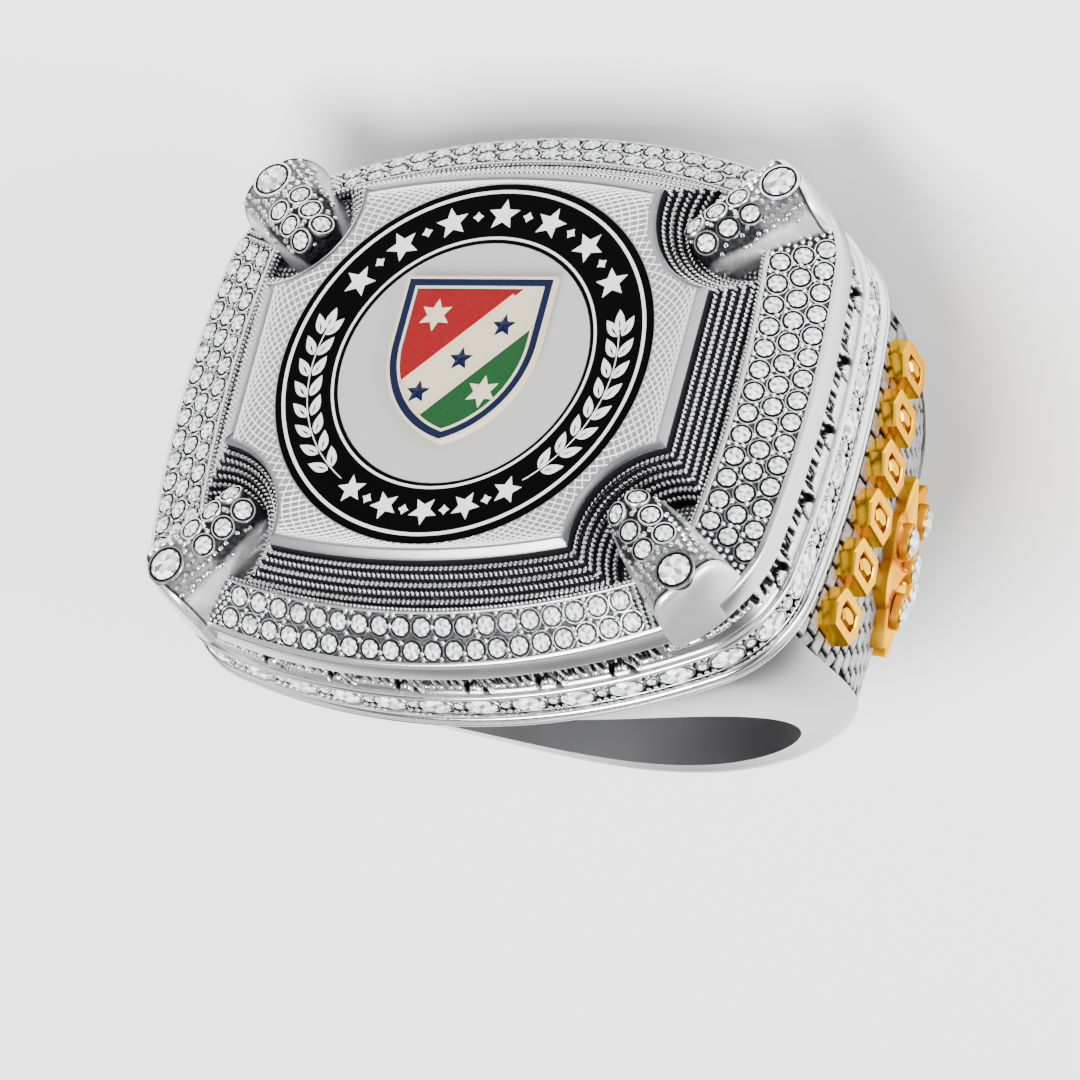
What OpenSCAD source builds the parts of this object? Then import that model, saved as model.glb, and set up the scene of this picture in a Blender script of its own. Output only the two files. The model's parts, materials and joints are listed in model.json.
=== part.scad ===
// Class ring: a wide cushion head with a raised name plate, two-colour enamel, a halo of
// small stones and four corner claws, on a heavy shank with stepped side panels.
// The ring is drawn upright, with the finger along Y and the face up, about the centre of
// the finger hole, and is then laid on its side on the plane z = 0.

/* [Finger hole] */
// Radius of the finger hole
finger_r = 9.9; // [8.8:0.05:10.6]

/* [Head] */
// Half width of the head along the hand
head_half_x = 16.4; // [15.8:0.1:17.2]
// Half width of the head along the finger
head_half_y = 13.95; // [13.5:0.1:14.6]
// Radius of the bulge of the two short sides
head_bulge_x = 56; // [48:1:70]
// Radius of the bulge of the two long sides
head_bulge_y = 34; // [30:1:44]
// Radius of the rounded corners
head_corner_r = 5.6; // [4.8:0.1:6.2]
// Height of the head's underside above the finger axis
head_base_z = 9.3; // [9.1:0.05:9.6]
// Height of the name plate's top above the finger axis
face_z = 18.3; // [18:0.05:18.8]

/* [Tiers of the head] */
// Height of the lowest rail
foot_rail_h = 0.7; // [0.6:0.05:0.8]
// How far the lowest rail stands proud of the wall
foot_rail_proud = 0.1; // [0.05:0.05:0.2]
// Height of the channel that holds the row of oval stones
channel_h = 1.55; // [1.5:0.05:1.7]
// Depth of that channel
channel_depth = 0.75; // [0.7:0.05:0.85]
// Height of the thin rail above the channel
thin_rail_h = 0.3; // [0.2:0.05:0.4]
// Height of the pierced gallery
gallery_h = 1.65; // [1.5:0.05:1.8]
// How far the gallery wall lies behind the rails
gallery_inset = 0.3; // [0.2:0.05:0.4]
// Width of one window of the gallery
window_w = 1.5; // [1:0.1:1.8]
// Height of one window of the gallery
window_h = 0.9; // [0.7:0.05:1.1]
// Depth of one window of the gallery
window_depth = 0.8; // [0.5:0.05:1]
// Spacing of the windows
window_pitch = 3.6; // [3:0.1:4.5]

/* [Stone frame] */
// Width of the frame along the two short sides of the head
frame_side_w = 3.3; // [3.2:0.05:3.5]
// Width of the frame along the two long sides of the head
frame_end_w = 2.15; // [2.1:0.05:2.3]
// Radius of the rounded corners of the opening
frame_in_corner_r = 3.3; // [2.8:0.1:3.6]
// Drop of the frame's inner edge below the name plate's top
frame_in_drop = 2.1; // [1.9:0.05:2.3]
// Drop of the frame's outer edge below the name plate's top
frame_out_drop = 3.6; // [3.4:0.05:3.8]
// Depth of the tray that the small stones stand in
tray_depth = 0.46; // [0.44:0.02:0.6]
// Width of the polished lip on each side of the tray
lip_w = 0.24; // [0.16:0.02:0.3]
// Width of the moat beside the name plate
moat_side_w = 1.75; // [1.6:0.05:1.9]
// Width of the moat in front of and behind the name plate
moat_end_w = 1.65; // [1.5:0.05:1.8]
// Depth of the moat floor below the name plate's top
moat_drop = 2.9; // [2.6:0.05:3.2]
// Width of the step between the name plate and the moat
moat_step_w = 0.9; // [0.7:0.05:1]
// Depth of that step below the name plate's top
moat_step_drop = 1.7; // [1.5:0.05:2]

/* [Name plate and enamel] */
// Radius of the bulge of the plate's long sides
plate_bulge = 38; // [32:1:48]
// Radius of the scooped corners
scoop_r = 4.5; // [4.3:0.1:4.7]
// Place of a scoop's centre outside the plate's side
scoop_out = 0.75; // [0.65:0.05:0.9]
// Place of a scoop's centre inside the plate's end
scoop_in = 1.55; // [1.4:0.05:1.65]
// Thickness of the name plate
plate_t = 1.3; // [1.2:0.05:1.5]
// Width and depth of the step around the plate's top edge
plate_edge = 0.25; // [0.15:0.05:0.35]
// Least width of the plate left around the enamel ring
enamel_margin = 0.75; // [0.65:0.05:1.2]
// Width of the enamel ring
enamel_w = 3.12; // [2.9:0.02:3.3]
// Thickness of the enamel ring and the centre disc
enamel_t = 0.6; // [0.4:0.05:0.8]
// Half width of the crest on the disc
crest_half_w = 3.7; // [3.2:0.1:4]
// Height of the crest's straight upper part
crest_top_h = 3.4; // [3:0.1:3.6]
// Height of the crest's pointed lower part
crest_point_h = 5; // [4.6:0.1:5.2]
// Width of the crest's border
crest_border_w = 0.4; // [0.3:0.05:0.5]
// Width of the crest's diagonal band
crest_band_w = 2; // [1.6:0.1:2.4]
// Thickness of the crest
crest_t = 0.3; // [0.2:0.05:0.4]

/* [Corner claws] */
// Place of a claw's large stone in from the head's short side
claw_from_side = 3.3; // [3.2:0.05:3.4]
// Place of a claw's large stone in from the head's long side
claw_from_end = 3.8; // [3.7:0.05:3.9]
// Gap between a claw's inner tip and the step around the name plate
claw_tip_gap = 0.3; // [0.25:0.05:0.5]
// Reach of a claw outwards from its large stone
claw_out = 1.5; // [1.4:0.05:1.6]
// Half width of a claw
claw_half_w = 2.15; // [2:0.05:2.2]
// Drop of a claw's highest point below the name plate's top
claw_drop = 0.3; // [0.1:0.05:0.5]
// Slope of a claw's top, outwards and down, in degrees
claw_slope = 8; // [6:0.5:10]

/* [Shank] */
// How far the shank's sides start behind the head's short sides
shank_inset_x = 0.1; // [0.05:0.05:0.3]
// How far the shank starts behind the head's long sides
shank_inset_y = 0.25; // [0.1:0.05:0.4]
// Half width of the shank at the bottom
foot_half_y = 5.15; // [4.6:0.05:5.6]
// Thickness of the metal at the bottom
foot_t = 1.3; // [1.1:0.05:1.6]
// Radius of the outline at the bottom
foot_bend_r = 12.9; // [12.6:0.1:13.2]
// Rounding of the shank's edges at the bottom
foot_edge_r = 0.65; // [0.5:0.05:0.75]
// Rounding of the shank's edges at the head, along the finger
shoulder_edge_y = 2.75; // [2.4:0.05:3]
// Rounding of the shank's edges at the head, into the metal
shoulder_edge_in = 3.9; // [3.4:0.1:4.2]

/* [Side panels] */
// How far a panel wraps over the rounded edges, as a share of the rounding
panel_wrap = 0.5; // [0.4:0.05:0.55]
// Share of the shank's drop that a panel covers
panel_share = 0.76; // [0.7:0.01:0.78]
// Depth of the recess for a panel
panel_recess = 1.45; // [1.35:0.05:1.55]
// Thickness of a panel
panel_t = 0.9; // [0.7:0.05:1]
// Number of gold blocks on a panel
block_count = 6; // [5:1:7]
// Spacing of the gold blocks
block_pitch = 2.6; // [2.4:0.05:2.65]
// Length of a gold block down the panel
block_l = 3.4; // [3:0.1:3.6]
// Width of a gold block
block_w = 2; // [1.6:0.1:2.1]
// Height of a gold block over the panel
block_h = 0.9; // [0.8:0.05:1.1]
// Drop of the row of blocks below the head's underside
block_drop = 2.5; // [2.3:0.05:2.7]
// Radius of the gold star
star_r = 4.3; // [4:0.1:4.5]
// Height of the gold star over the panel
star_h = 0.9; // [0.7:0.05:1.1]
// Drop of the star's centre below the head's underside
star_drop = 9.6; // [9.5:0.05:9.9]
// Radius of the ring of stones on the star
star_stone_ring_r = 2.35; // [2.2:0.05:2.5]

/* [Stones] */
// Diameter of the small stones of the frame and the claws
small_d = 0.96; // [0.9:0.01:0.98]
// Spacing of the frame's stones along the sides
side_pitch = 1.13; // [1.1:0.01:1.14]
// Spacing of the frame's stones along the ends
end_pitch = 1.09; // [1.08:0.01:1.1]
// Spacing of the small stones on a claw
claw_pitch = 1.2; // [1.15:0.01:1.25]
// Diameter of the large stone of a claw
large_d = 1.5; // [1.4:0.05:1.6]
// Diameter of the stones on the star
star_stone_d = 1.4; // [1.2:0.05:1.5]
// Length of the oval stones of the channel
oval_l = 1.6; // [1.4:0.05:1.8]
// Height of the oval stones of the channel
oval_h = 1.1; // [1:0.05:1.3]
// Spacing of the oval stones
oval_pitch = 2.4; // [2.3:0.05:2.6]

/* [Hidden] */

// Clearance between pieces that are set into one another
gap = 0.05;
// Depth by which cuts run past a surface, and joined solids into each other
over = 0.2;
// Fineness of the exact round shapes
$fn = 96;

// Places that follow from the head's size and the widths of the tiers
frame_in_x = head_half_x - frame_side_w;
frame_in_y = head_half_y - frame_end_w;
plate_half_x = frame_in_x - moat_side_w;
plate_half_y = frame_in_y - moat_end_w;
scoop_x = plate_half_x + scoop_out;
scoop_y = plate_half_y - scoop_in;
scoop_reach = norm([scoop_x, scoop_y]) - scoop_r;
enamel_r = min(plate_half_x, plate_half_y, scoop_reach) - enamel_margin;
disc_r = enamel_r - enamel_w;
claw_x = head_half_x - claw_from_side;
claw_y = head_half_y - claw_from_end;
shank_half_x = head_half_x - shank_inset_x;
shank_half_y = head_half_y - shank_inset_y;

// Heights of the tiers, from the underside up
foot_rail_top = head_base_z + foot_rail_h;
channel_top = foot_rail_top + channel_h;
thin_rail_top = channel_top + thin_rail_h;
gallery_top = thin_rail_top + gallery_h;
frame_in_z = face_z - frame_in_drop;
frame_out_z = face_z - frame_out_drop;
moat_z = face_z - moat_drop;
frame_base_z = gallery_top + gap;
step_z = face_z - moat_step_drop;
plate_base_z = face_z - plate_t;

// The shank's outline is two side arcs that run into a bottom arc
shank_drop = head_base_z + finger_r + foot_t;
bend_rise = shank_drop - foot_bend_r;
side_arc_r = (shank_half_x^2 + bend_rise^2 - foot_bend_r^2) / (2 * (shank_half_x - foot_bend_r));
side_arc_x = side_arc_r - shank_half_x;
turn_at_bend = atan2(bend_rise, side_arc_x);

// The four corners, as signs along the hand and the finger
CORNERS = [[1, 1], [-1, 1], [-1, -1], [1, -1]];

// Centre of the corner arc that runs into a side arc bx and an end arc by
function corner_centre(hx, hy, bx, by, rc) =
    let (sx = hx - bx, sy = hy - by, span = norm([sx, sy]), d1 = bx - rc, d2 = by - rc,
         along = (d1^2 - d2^2 + span^2) / (2 * span), off = sqrt(d1^2 - along^2),
         u = [-sx, sy] / span)
    [sx, 0] + along * u + off * [-u[1], u[0]];

// Points of one quarter of a cushion outline, from the side to the end
function cushion_quarter(hx, hy, bx, by, rc, n) =
    let (c = corner_centre(hx, hy, bx, by, rc),
         a1 = atan2(c[1], c[0] - hx + bx), a2 = atan2(c[1] - hy + by, c[0]))
    [
        for (i = [0:n - 1]) [hx - bx + bx * cos(a1 * i / n), bx * sin(a1 * i / n)],
        for (i = [0:n - 1]) let (a = a1 + (a2 - a1) * i / n) c + rc * [cos(a), sin(a)],
        for (i = [0:n - 1]) let (a = a2 + (90 - a2) * i / n) [by * cos(a), hy - by + by * sin(a)],
    ];

// The whole outline, as four mirrored quarters
function mirrored(q, kx, ky) = [for (p = q) [kx * p[0], ky * p[1]]];
function turned(q) = [for (i = [len(q) - 1:-1:1]) q[i]];
function cushion_points(hx, hy, bx, by, rc, n) =
    let (q = cushion_quarter(hx, hy, bx, by, rc, n), top = [[0, hy]])
    concat(q, top, mirrored(turned(q), -1, 1), mirrored(q, -1, -1), mirrored(top, 1, -1),
           mirrored(turned(q), 1, -1));

// A cushion outline with true arcs, moved inwards by k
module cushion(hx, hy, bx, by, rc, k) {
    c = corner_centre(hx, hy, bx, by, rc);
    reach = 2 * rc;
    d1 = (c - [hx - bx, 0]) / norm(c - [hx - bx, 0]) * reach;
    d2 = (c - [0, hy - by]) / norm(c - [0, hy - by]) * reach;
    difference() {
        intersection() {
            translate([hx - bx, 0]) circle(bx - k);
            translate([bx - hx, 0]) circle(bx - k);
            translate([0, hy - by]) circle(by - k);
            translate([0, by - hy]) circle(by - k);
        }
        for (s = CORNERS)
            polygon([for (p = [c, c + d1, c + d1 + d2, c + d2]) [s[0] * p[0], s[1] * p[1]]]);
    }
    for (s = CORNERS) translate([s[0] * c[0], s[1] * c[1]]) circle(rc - k);
}
module head_outline(k) {
    cushion(head_half_x, head_half_y, head_bulge_x, head_bulge_y, head_corner_r, k);
}
module opening_outline(k) {
    cushion(frame_in_x, frame_in_y, head_bulge_x, head_bulge_y, frame_in_corner_r, k);
}

// The name plate's outline, moved outwards by k
module plate_outline(k) {
    difference() {
        intersection() {
            square([2 * (plate_half_x + k), 4 * plate_half_y], center = true);
            translate([0, plate_half_y - plate_bulge]) circle(plate_bulge + k);
            translate([0, plate_bulge - plate_half_y]) circle(plate_bulge + k);
        }
        for (s = CORNERS) translate([s[0] * scoop_x, s[1] * scoop_y]) circle(scoop_r - k);
    }
}

// A closed solid through a list of rings of points, all of one length
module loft(rings) {
    n = len(rings);
    m = len(rings[0]);
    points = [for (ring = rings) for (p = ring) p];
    sides = [
        for (i = [0:n - 2]) for (j = [0:m - 1])
            let (a = i * m + j, b = i * m + (j + 1) % m)
            each [[a, b, a + m], [b, b + m, a + m]],
    ];
    first_cap = [for (j = [m - 1:-1:0]) j];
    last_cap = [for (j = [0:m - 1]) (n - 1) * m + j];
    polyhedron(points, concat(sides, [first_cap, last_cap]));
}

// Share of the shank's drop at height z
function drop_share(z) = min(1, max(0, (head_base_z - z) / shank_drop));

// Half width of the shank along the finger at place x and height z
function shank_half(x, z) =
    let (s = drop_share(z))
    foot_half_y + (shank_half_y - foot_half_y) * (1 - s^1.3)^2 - x^2 / (2 * head_bulge_y) * (1 - s)^2;

// Outline of the shank seen along the finger, from 0 degrees at the head to 90 at the bottom
function rim(turn) =
    turn < turn_at_bend
        ? [side_arc_r * cos(turn) - side_arc_x, head_base_z - side_arc_r * sin(turn)]
        : [foot_bend_r * cos(turn), head_base_z - bend_rise - foot_bend_r * sin(turn)];
function rim_share(turn) = drop_share(rim(turn)[1]);
function turn_at_drop(drop) = asin(drop / side_arc_r);

// Where a section of the shank ends, inside the finger hole
core_x = 0.2 * finger_r;
core_drop = head_base_z + 0.58 * finger_r;
function core(turn) = [core_x * rim(turn)[0] / shank_half_x, head_base_z - core_drop * rim_share(turn)];

// A point of a section, inset from the rim towards the core
function inset(turn, e) =
    let (r = rim(turn), c = core(turn)) r + (c - r) / norm(c - r) * e;
function section_depth(turn) = norm(core(turn) - rim(turn));

// The gentle crown that the shank takes over from the head's bulging sides
function crown(turn, y) = y^2 / (2 * head_bulge_x) * (1 - rim_share(turn));

// Rounding of the shank's edges, along the finger and into the metal
function edge_y(turn) = foot_edge_r + (shoulder_edge_y - foot_edge_r) * (1 - rim_share(turn));
function edge_in(turn) = foot_edge_r + (shoulder_edge_in - foot_edge_r) * (1 - rim_share(turn));

// A point of the surface at inset e, where f runs from 0 to 1 over the rounded edge
function shank_point(turn, e, f) =
    let (p = inset(turn, e), y = shank_half(p[0], p[1]) - edge_y(turn) * (1 - f),
         q = inset(turn, min(section_depth(turn), e + crown(turn, y))))
    [q[0], y, q[1]];
function edge_point(turn, f) = shank_point(turn, edge_in(turn) * (1 - sqrt(1 - f^2)), f);

// Panels: their half width, their lower end, and a point over them
panel_end = turn_at_drop(panel_share * shank_drop);
function panel_half(turn) =
    let (r = rim(turn)) shank_half(r[0], r[1]) - edge_y(turn) * (1 - panel_wrap);
function panel_point(turn, y, e) =
    let (q = inset(turn, e + crown(turn, y))) [q[0], y, q[1]];

// One half of a section of the shank, from the middle line to the core
EDGE_SHARES = [panel_wrap, 0.71, 0.87, 0.97, 1];
SIDE_SHARES = [0.35, 0.7, 1];
function half_section(turn, recessed) =
    let (w = panel_half(turn), e1 = edge_in(turn), depth = section_depth(turn))
    [
        recessed ? panel_point(turn, w / 2, panel_recess) : edge_point(turn, 0),
        recessed ? panel_point(turn, w - gap, panel_recess) : edge_point(turn, panel_wrap / 2),
        for (f = EDGE_SHARES) edge_point(turn, f),
        for (k = SIDE_SHARES) shank_point(turn, e1 + (depth - e1) * k, 1),
    ];
function flipped_y(list) = [for (i = [len(list) - 1:-1:0]) [list[i][0], -list[i][1], list[i][2]]];
function flipped_x(list) = [for (p = list) [-p[0], p[1], p[2]]];
function shank_section(turn, recessed) =
    let (half = half_section(turn, recessed))
    concat(flipped_y(half), [panel_point(turn, 0, recessed ? panel_recess : 0)], half);

// The first section lies above the head's underside, where the shank is then cut off flat
PANEL_STEPS = 12;
FOOT_STEPS = 11;
turn_above_seat = -2;
module shank() {
    right = [
        shank_section(turn_above_seat, true),
        for (i = [1:PANEL_STEPS]) shank_section(panel_end * i / PANEL_STEPS, true),
        shank_section(panel_end + gap, false),
        for (i = [1:FOOT_STEPS]) shank_section(panel_end + (90 - panel_end) * i / FOOT_STEPS, false),
    ];
    left = [for (i = [len(right) - 2:-1:0]) flipped_x(right[i])];
    color("gainsboro")
        difference() {
            loft(concat(right, left));
            rotate([90, 0, 0]) cylinder(h = 4 * head_half_y, r = finger_r, center = true);
            translate([-2 * head_half_x, -2 * head_half_y, head_base_z])
                cube([4 * head_half_x, 4 * head_half_y, finger_r]);
        }
}

// A stone cut with a table and eight crown and eight lower facets, its girdle at z = 0
STONE_TABLE = 0.56;
STONE_CROWN = 0.16;
STONE_POINT = 0.43;
module cut_stone(dx, dy) {
    d = min(dx, dy);
    ring = [for (i = [0:7]) [dx / 2 * cos(45 * i), dy / 2 * sin(45 * i)]];
    points = concat([[0, 0, -STONE_POINT * d]], [for (p = ring) [p[0], p[1], 0]],
                    [for (p = ring) [STONE_TABLE * p[0], STONE_TABLE * p[1], STONE_CROWN * d]]);
    faces = [
        [for (i = [7:-1:0]) 9 + i],
        for (i = [0:7]) let (j = (i + 1) % 8)
            each [[0, 1 + i, 1 + j], [1 + i, 9 + i, 9 + j], [1 + i, 9 + j, 1 + j]],
    ];
    polyhedron(points, faces);
}

// The stone frame: a ring that slopes down outwards, with a tray for the stones
frame_slope_x = atan((frame_out_drop - frame_in_drop) / frame_side_w);
frame_slope_y = atan((frame_out_drop - frame_in_drop) / frame_end_w);
lip_share = lip_w / frame_side_w;
tray_drop = tray_depth / cos(frame_slope_y);
function frame_z(u) = frame_in_z + (frame_out_z - frame_in_z) * u;
module frame_ring() {
    steps = 7;
    outside = cushion_points(head_half_x, head_half_y, head_bulge_x, head_bulge_y, head_corner_r, steps);
    inside = cushion_points(frame_in_x, frame_in_y, head_bulge_x, head_bulge_y, frame_in_corner_r, steps);
    profile = [
        [0, frame_base_z], [0, frame_z(0)], [lip_share, frame_z(lip_share)],
        [lip_share, frame_z(lip_share) - tray_drop], [1 - lip_share, frame_z(1 - lip_share) - tray_drop],
        [1 - lip_share, frame_z(1 - lip_share)], [1, frame_z(1)], [1, frame_base_z],
    ];
    n = len(outside);
    m = len(profile);
    points = [
        for (i = [0:n - 1]) for (q = profile)
            let (p = inside[i] + (outside[i] - inside[i]) * q[0]) [p[0], p[1], q[1]],
    ];
    faces = [
        for (i = [0:n - 1]) for (j = [0:m - 1])
            let (a = i * m + j, b = i * m + (j + 1) % m, c = (i + 1) % n * m + j,
                 d = (i + 1) % n * m + (j + 1) % m)
            each [[a, c, b], [b, c, d]],
    ];
    polyhedron(points, faces);
}

// One claw along +X, its large stone at the origin: shares of its length, width and rise
CLAW_SECTIONS = [
    [0, 0.3, 0.5], [0.03, 0.62, 0.82], [0.1, 0.85, 0.96], [0.25, 0.95, 1], [0.5, 1, 1],
    [0.8, 1, 0.99], [0.9, 0.96, 0.9], [0.96, 0.88, 0.7], [1, 0.76, 0.36],
];
CLAW_PROFILE = [[-1, 0.3], [-0.9, 0.82], [-0.7, 1], [0.7, 1], [0.9, 0.82], [1, 0.3]];
claw_foot_z = moat_z + gap;
claw_over_frame = -1.55;
scoop_along = (claw_x + claw_y - scoop_x - scoop_y) / sqrt(2);
claw_in = scoop_along + scoop_r - moat_step_w - claw_tip_gap;
function claw_top(along) = face_z - claw_drop - (along + claw_in) * tan(claw_slope);
function claw_section(along, width, rise, base) =
    let (w = width * claw_half_w, h = (claw_top(along) - claw_foot_z) * rise)
    concat([[along, -w, base]], [for (p = CLAW_PROFILE) [along, p[0] * w, claw_foot_z + p[1] * h]],
           [[along, w, base]]);
function claw_along(share) = share * (claw_in + claw_out) - claw_in;
module claw_body() {
    inner = [for (s = CLAW_SECTIONS) if (claw_along(s[0]) < claw_over_frame) s];
    outer = [for (s = CLAW_SECTIONS) if (claw_along(s[0]) > claw_over_frame) s];
    loft([
        for (s = inner) claw_section(claw_along(s[0]), s[1], s[2], claw_foot_z),
        claw_section(claw_over_frame - gap, 1, 1, claw_foot_z),
        claw_section(claw_over_frame, 1, 1, frame_base_z),
        for (s = outer) claw_section(claw_along(s[0]), s[1], s[2], frame_base_z),
    ]);
}

// Moves what is drawn over a claw onto each of the four claws
module on_claw(sign) {
    mirror([sign[0] < 0 ? 1 : 0, 0, 0]) mirror([0, sign[1] < 0 ? 1 : 0, 0])
        translate([claw_x, claw_y, 0]) rotate([0, 0, 45]) children();
}
module on_claw_top(along, across) {
    translate([along, across, claw_top(along)]) rotate([0, claw_slope, 0]) children();
}
CLAW_ROWS = 3;
claw_first_row = -1.6 * claw_pitch;
module claw_small_places() {
    for (i = [0:CLAW_ROWS - 1]) for (side = [-0.5, 0.5])
        on_claw_top(claw_first_row - i * claw_pitch, side * claw_pitch) children();
}

// Seats for stones: a round hole a little wider and deeper than the stone
module seat(d) {
    translate([0, 0, -STONE_POINT * d - gap]) cylinder(h = d, d = d + 2 * gap, $fn = 8);
}

// Places along the head's wall, at inset k, with +Z out of the wall
module along_ends(x, k) {
    for (side = [-1, 1]) {
        swing = asin(x / (head_bulge_y - k));
        rotate([0, 0, side > 0 ? 0 : 180]) translate([0, head_half_y - head_bulge_y, 0])
            rotate([0, 0, -swing]) translate([0, head_bulge_y - k, 0]) rotate([-90, 0, 0]) children();
    }
}
module along_sides(y, k) {
    for (side = [-1, 1]) {
        swing = asin(y / (head_bulge_x - k));
        rotate([0, 0, side > 0 ? 0 : 180]) translate([head_half_x - head_bulge_x, 0, 0])
            rotate([0, 0, swing]) translate([head_bulge_x - k, 0, 0]) rotate([0, 90, 0])
            rotate([0, 0, 90]) children();
    }
}
function row(count, pitch) = [for (i = [0:count - 1]) (i - (count - 1) / 2) * pitch];

// How many copies of a length fit in a row between the head's corners
function count_between(half, corner, length, pitch) = floor((2 * (half - corner) - length) / pitch) + 1;
windows_to_corner = 5.8;
module gallery_windows() {
    n_end = count_between(head_half_x, windows_to_corner, window_w, window_pitch);
    n_side = count_between(head_half_y, windows_to_corner, window_w, window_pitch);
    z = thin_rail_top + gallery_h / 2;
    size = [window_w, window_h, 2 * window_depth];
    translate([0, 0, z]) {
        for (x = row(n_end, window_pitch)) along_ends(x, gallery_inset) cube(size, center = true);
        for (y = row(n_side, window_pitch)) along_sides(y, gallery_inset) cube(size, center = true);
    }
}

module tier(bottom, top, k) {
    translate([0, 0, bottom]) linear_extrude(top - bottom) head_outline(k);
}

// The lower head: rails, channel, gallery with its windows, and the stepped floor of the moat
module gallery() {
    color("silver")
        difference() {
            union() {
                tier(head_base_z, foot_rail_top, -foot_rail_proud);
                tier(head_base_z, thin_rail_top, channel_depth);
                tier(channel_top, thin_rail_top, 0);
                tier(channel_top, gallery_top, gallery_inset);
                translate([0, 0, head_base_z]) linear_extrude(moat_z - head_base_z) opening_outline(gap);
                translate([0, 0, moat_z - over])
                    linear_extrude(step_z - moat_z + over) plate_outline(moat_step_w);
                translate([0, 0, step_z - over])
                    linear_extrude(plate_base_z - gap - step_z + over) plate_outline(0);
            }
            rotate([90, 0, 0]) cylinder(h = 4 * head_half_y, r = finger_r, center = true);
            gallery_windows();
        }
}

// The upper head: the stone frame and the four claws cast with it, with seats for their stones
module stone_frame() {
    color("silver")
        difference() {
            union() {
                frame_ring();
                for (s = CORNERS) on_claw(s) claw_body();
            }
            for (s = CORNERS) on_claw(s) {
                claw_small_places() seat(small_d);
                on_claw_top(0, 0) seat(large_d);
            }
        }
}

// The name plate, with a round pocket for the enamel
module face_plate() {
    color("lightgrey")
        difference() {
            union() {
                translate([0, 0, plate_base_z]) linear_extrude(plate_t - plate_edge) plate_outline(0);
                translate([0, 0, plate_base_z]) linear_extrude(plate_t) plate_outline(-plate_edge);
            }
            translate([0, 0, face_z - enamel_t - gap]) cylinder(h = plate_t, r = enamel_r + gap);
        }
}

module enamel_ring() {
    color("black")
        translate([0, 0, face_z - enamel_t])
        difference() {
            cylinder(h = enamel_t, r = enamel_r);
            translate([0, 0, -over]) cylinder(h = plate_t, r = disc_r + gap);
        }
}

module centre_disc() {
    color("whitesmoke")
        translate([0, 0, face_z - enamel_t]) cylinder(h = enamel_t, r = disc_r);
}

// The crest: a shield with a straight top, curved to a point below, moved inwards by k
crest_middle_z = (crest_point_h - crest_top_h) / 2;
module shield(k) {
    w = crest_half_w - k;
    r = (crest_point_h^2 + crest_half_w^2) / (2 * crest_half_w) - k;
    translate([0, crest_middle_z]) {
        translate([-w, 0]) square([2 * w, crest_top_h - k]);
        intersection() {
            translate([w - r, 0]) circle(r);
            translate([r - w, 0]) circle(r);
            translate([-w, -2 * crest_point_h]) square([2 * w, 2 * crest_point_h]);
        }
    }
}
module crest_layer() {
    translate([0, 0, face_z + gap]) linear_extrude(crest_t) children();
}
crest_band_angle = 45;
module crest_half_plane(side) {
    edge = crest_band_w / 2 + gap;
    rotate([0, 0, crest_band_angle])
        translate([-2 * disc_r, side > 0 ? edge : -edge - 2 * disc_r]) square([4 * disc_r, 2 * disc_r]);
}
module crest_border() {
    color("navy") crest_layer() difference() {
        shield(0);
        shield(crest_border_w);
    }
}
module crest_field(side) {
    crest_layer() intersection() {
        shield(crest_border_w + gap);
        crest_half_plane(side);
    }
}
module crest_red() {
    color("crimson") crest_field(1);
}
module crest_green() {
    color("seagreen") crest_field(-1);
}
module crest_band() {
    color("white") crest_layer() intersection() {
        shield(crest_border_w + gap);
        rotate([0, 0, crest_band_angle]) square([4 * disc_r, crest_band_w], center = true);
    }
}

// A side panel: a sheet that follows the recess in the shank
PANEL_SHARES = [-1, -0.5, 0, 0.5, 1];
panel_top_inset = panel_recess - gap - panel_t;
module side_panel() {
    first = turn_at_drop(2 * gap);
    last = panel_end - turn_at_drop(2 * gap);
    rings = [
        for (i = [0:PANEL_STEPS])
            let (turn = first + (last - first) * i / PANEL_STEPS, w = panel_half(turn) - 2 * gap)
            concat([for (k = PANEL_SHARES) panel_point(turn, k * w, panel_top_inset)],
                   [for (k = turned([0, for (k = PANEL_SHARES) k]))
                        panel_point(turn, k * w, panel_top_inset + panel_t)]),
    ];
    color("dimgray") loft(rings);
}

// Moves what is drawn flat onto the panel, its X down the panel and its Z outwards
module on_panel(drop, y) {
    turn = turn_at_drop(drop);
    p = panel_point(turn, y, panel_top_inset);
    tilt = asin(y / head_bulge_x * (1 - rim_share(turn)));
    translate(p) rotate([0, 90 + turn, 0]) rotate([-tilt, 0, 0]) translate([0, 0, gap]) children();
}
module gold_row() {
    point = block_w / 2;
    outline = [
        [-block_l / 2 + point / 2, -block_w / 2], [block_l / 2 - point / 2, -block_w / 2], [block_l / 2, 0],
        [block_l / 2 - point / 2, block_w / 2], [-block_l / 2 + point / 2, block_w / 2], [-block_l / 2, 0],
    ];
    color("goldenrod")
        for (y = row(block_count, block_pitch))
            on_panel(block_drop, y) linear_extrude(block_h) polygon(outline);
}

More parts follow.
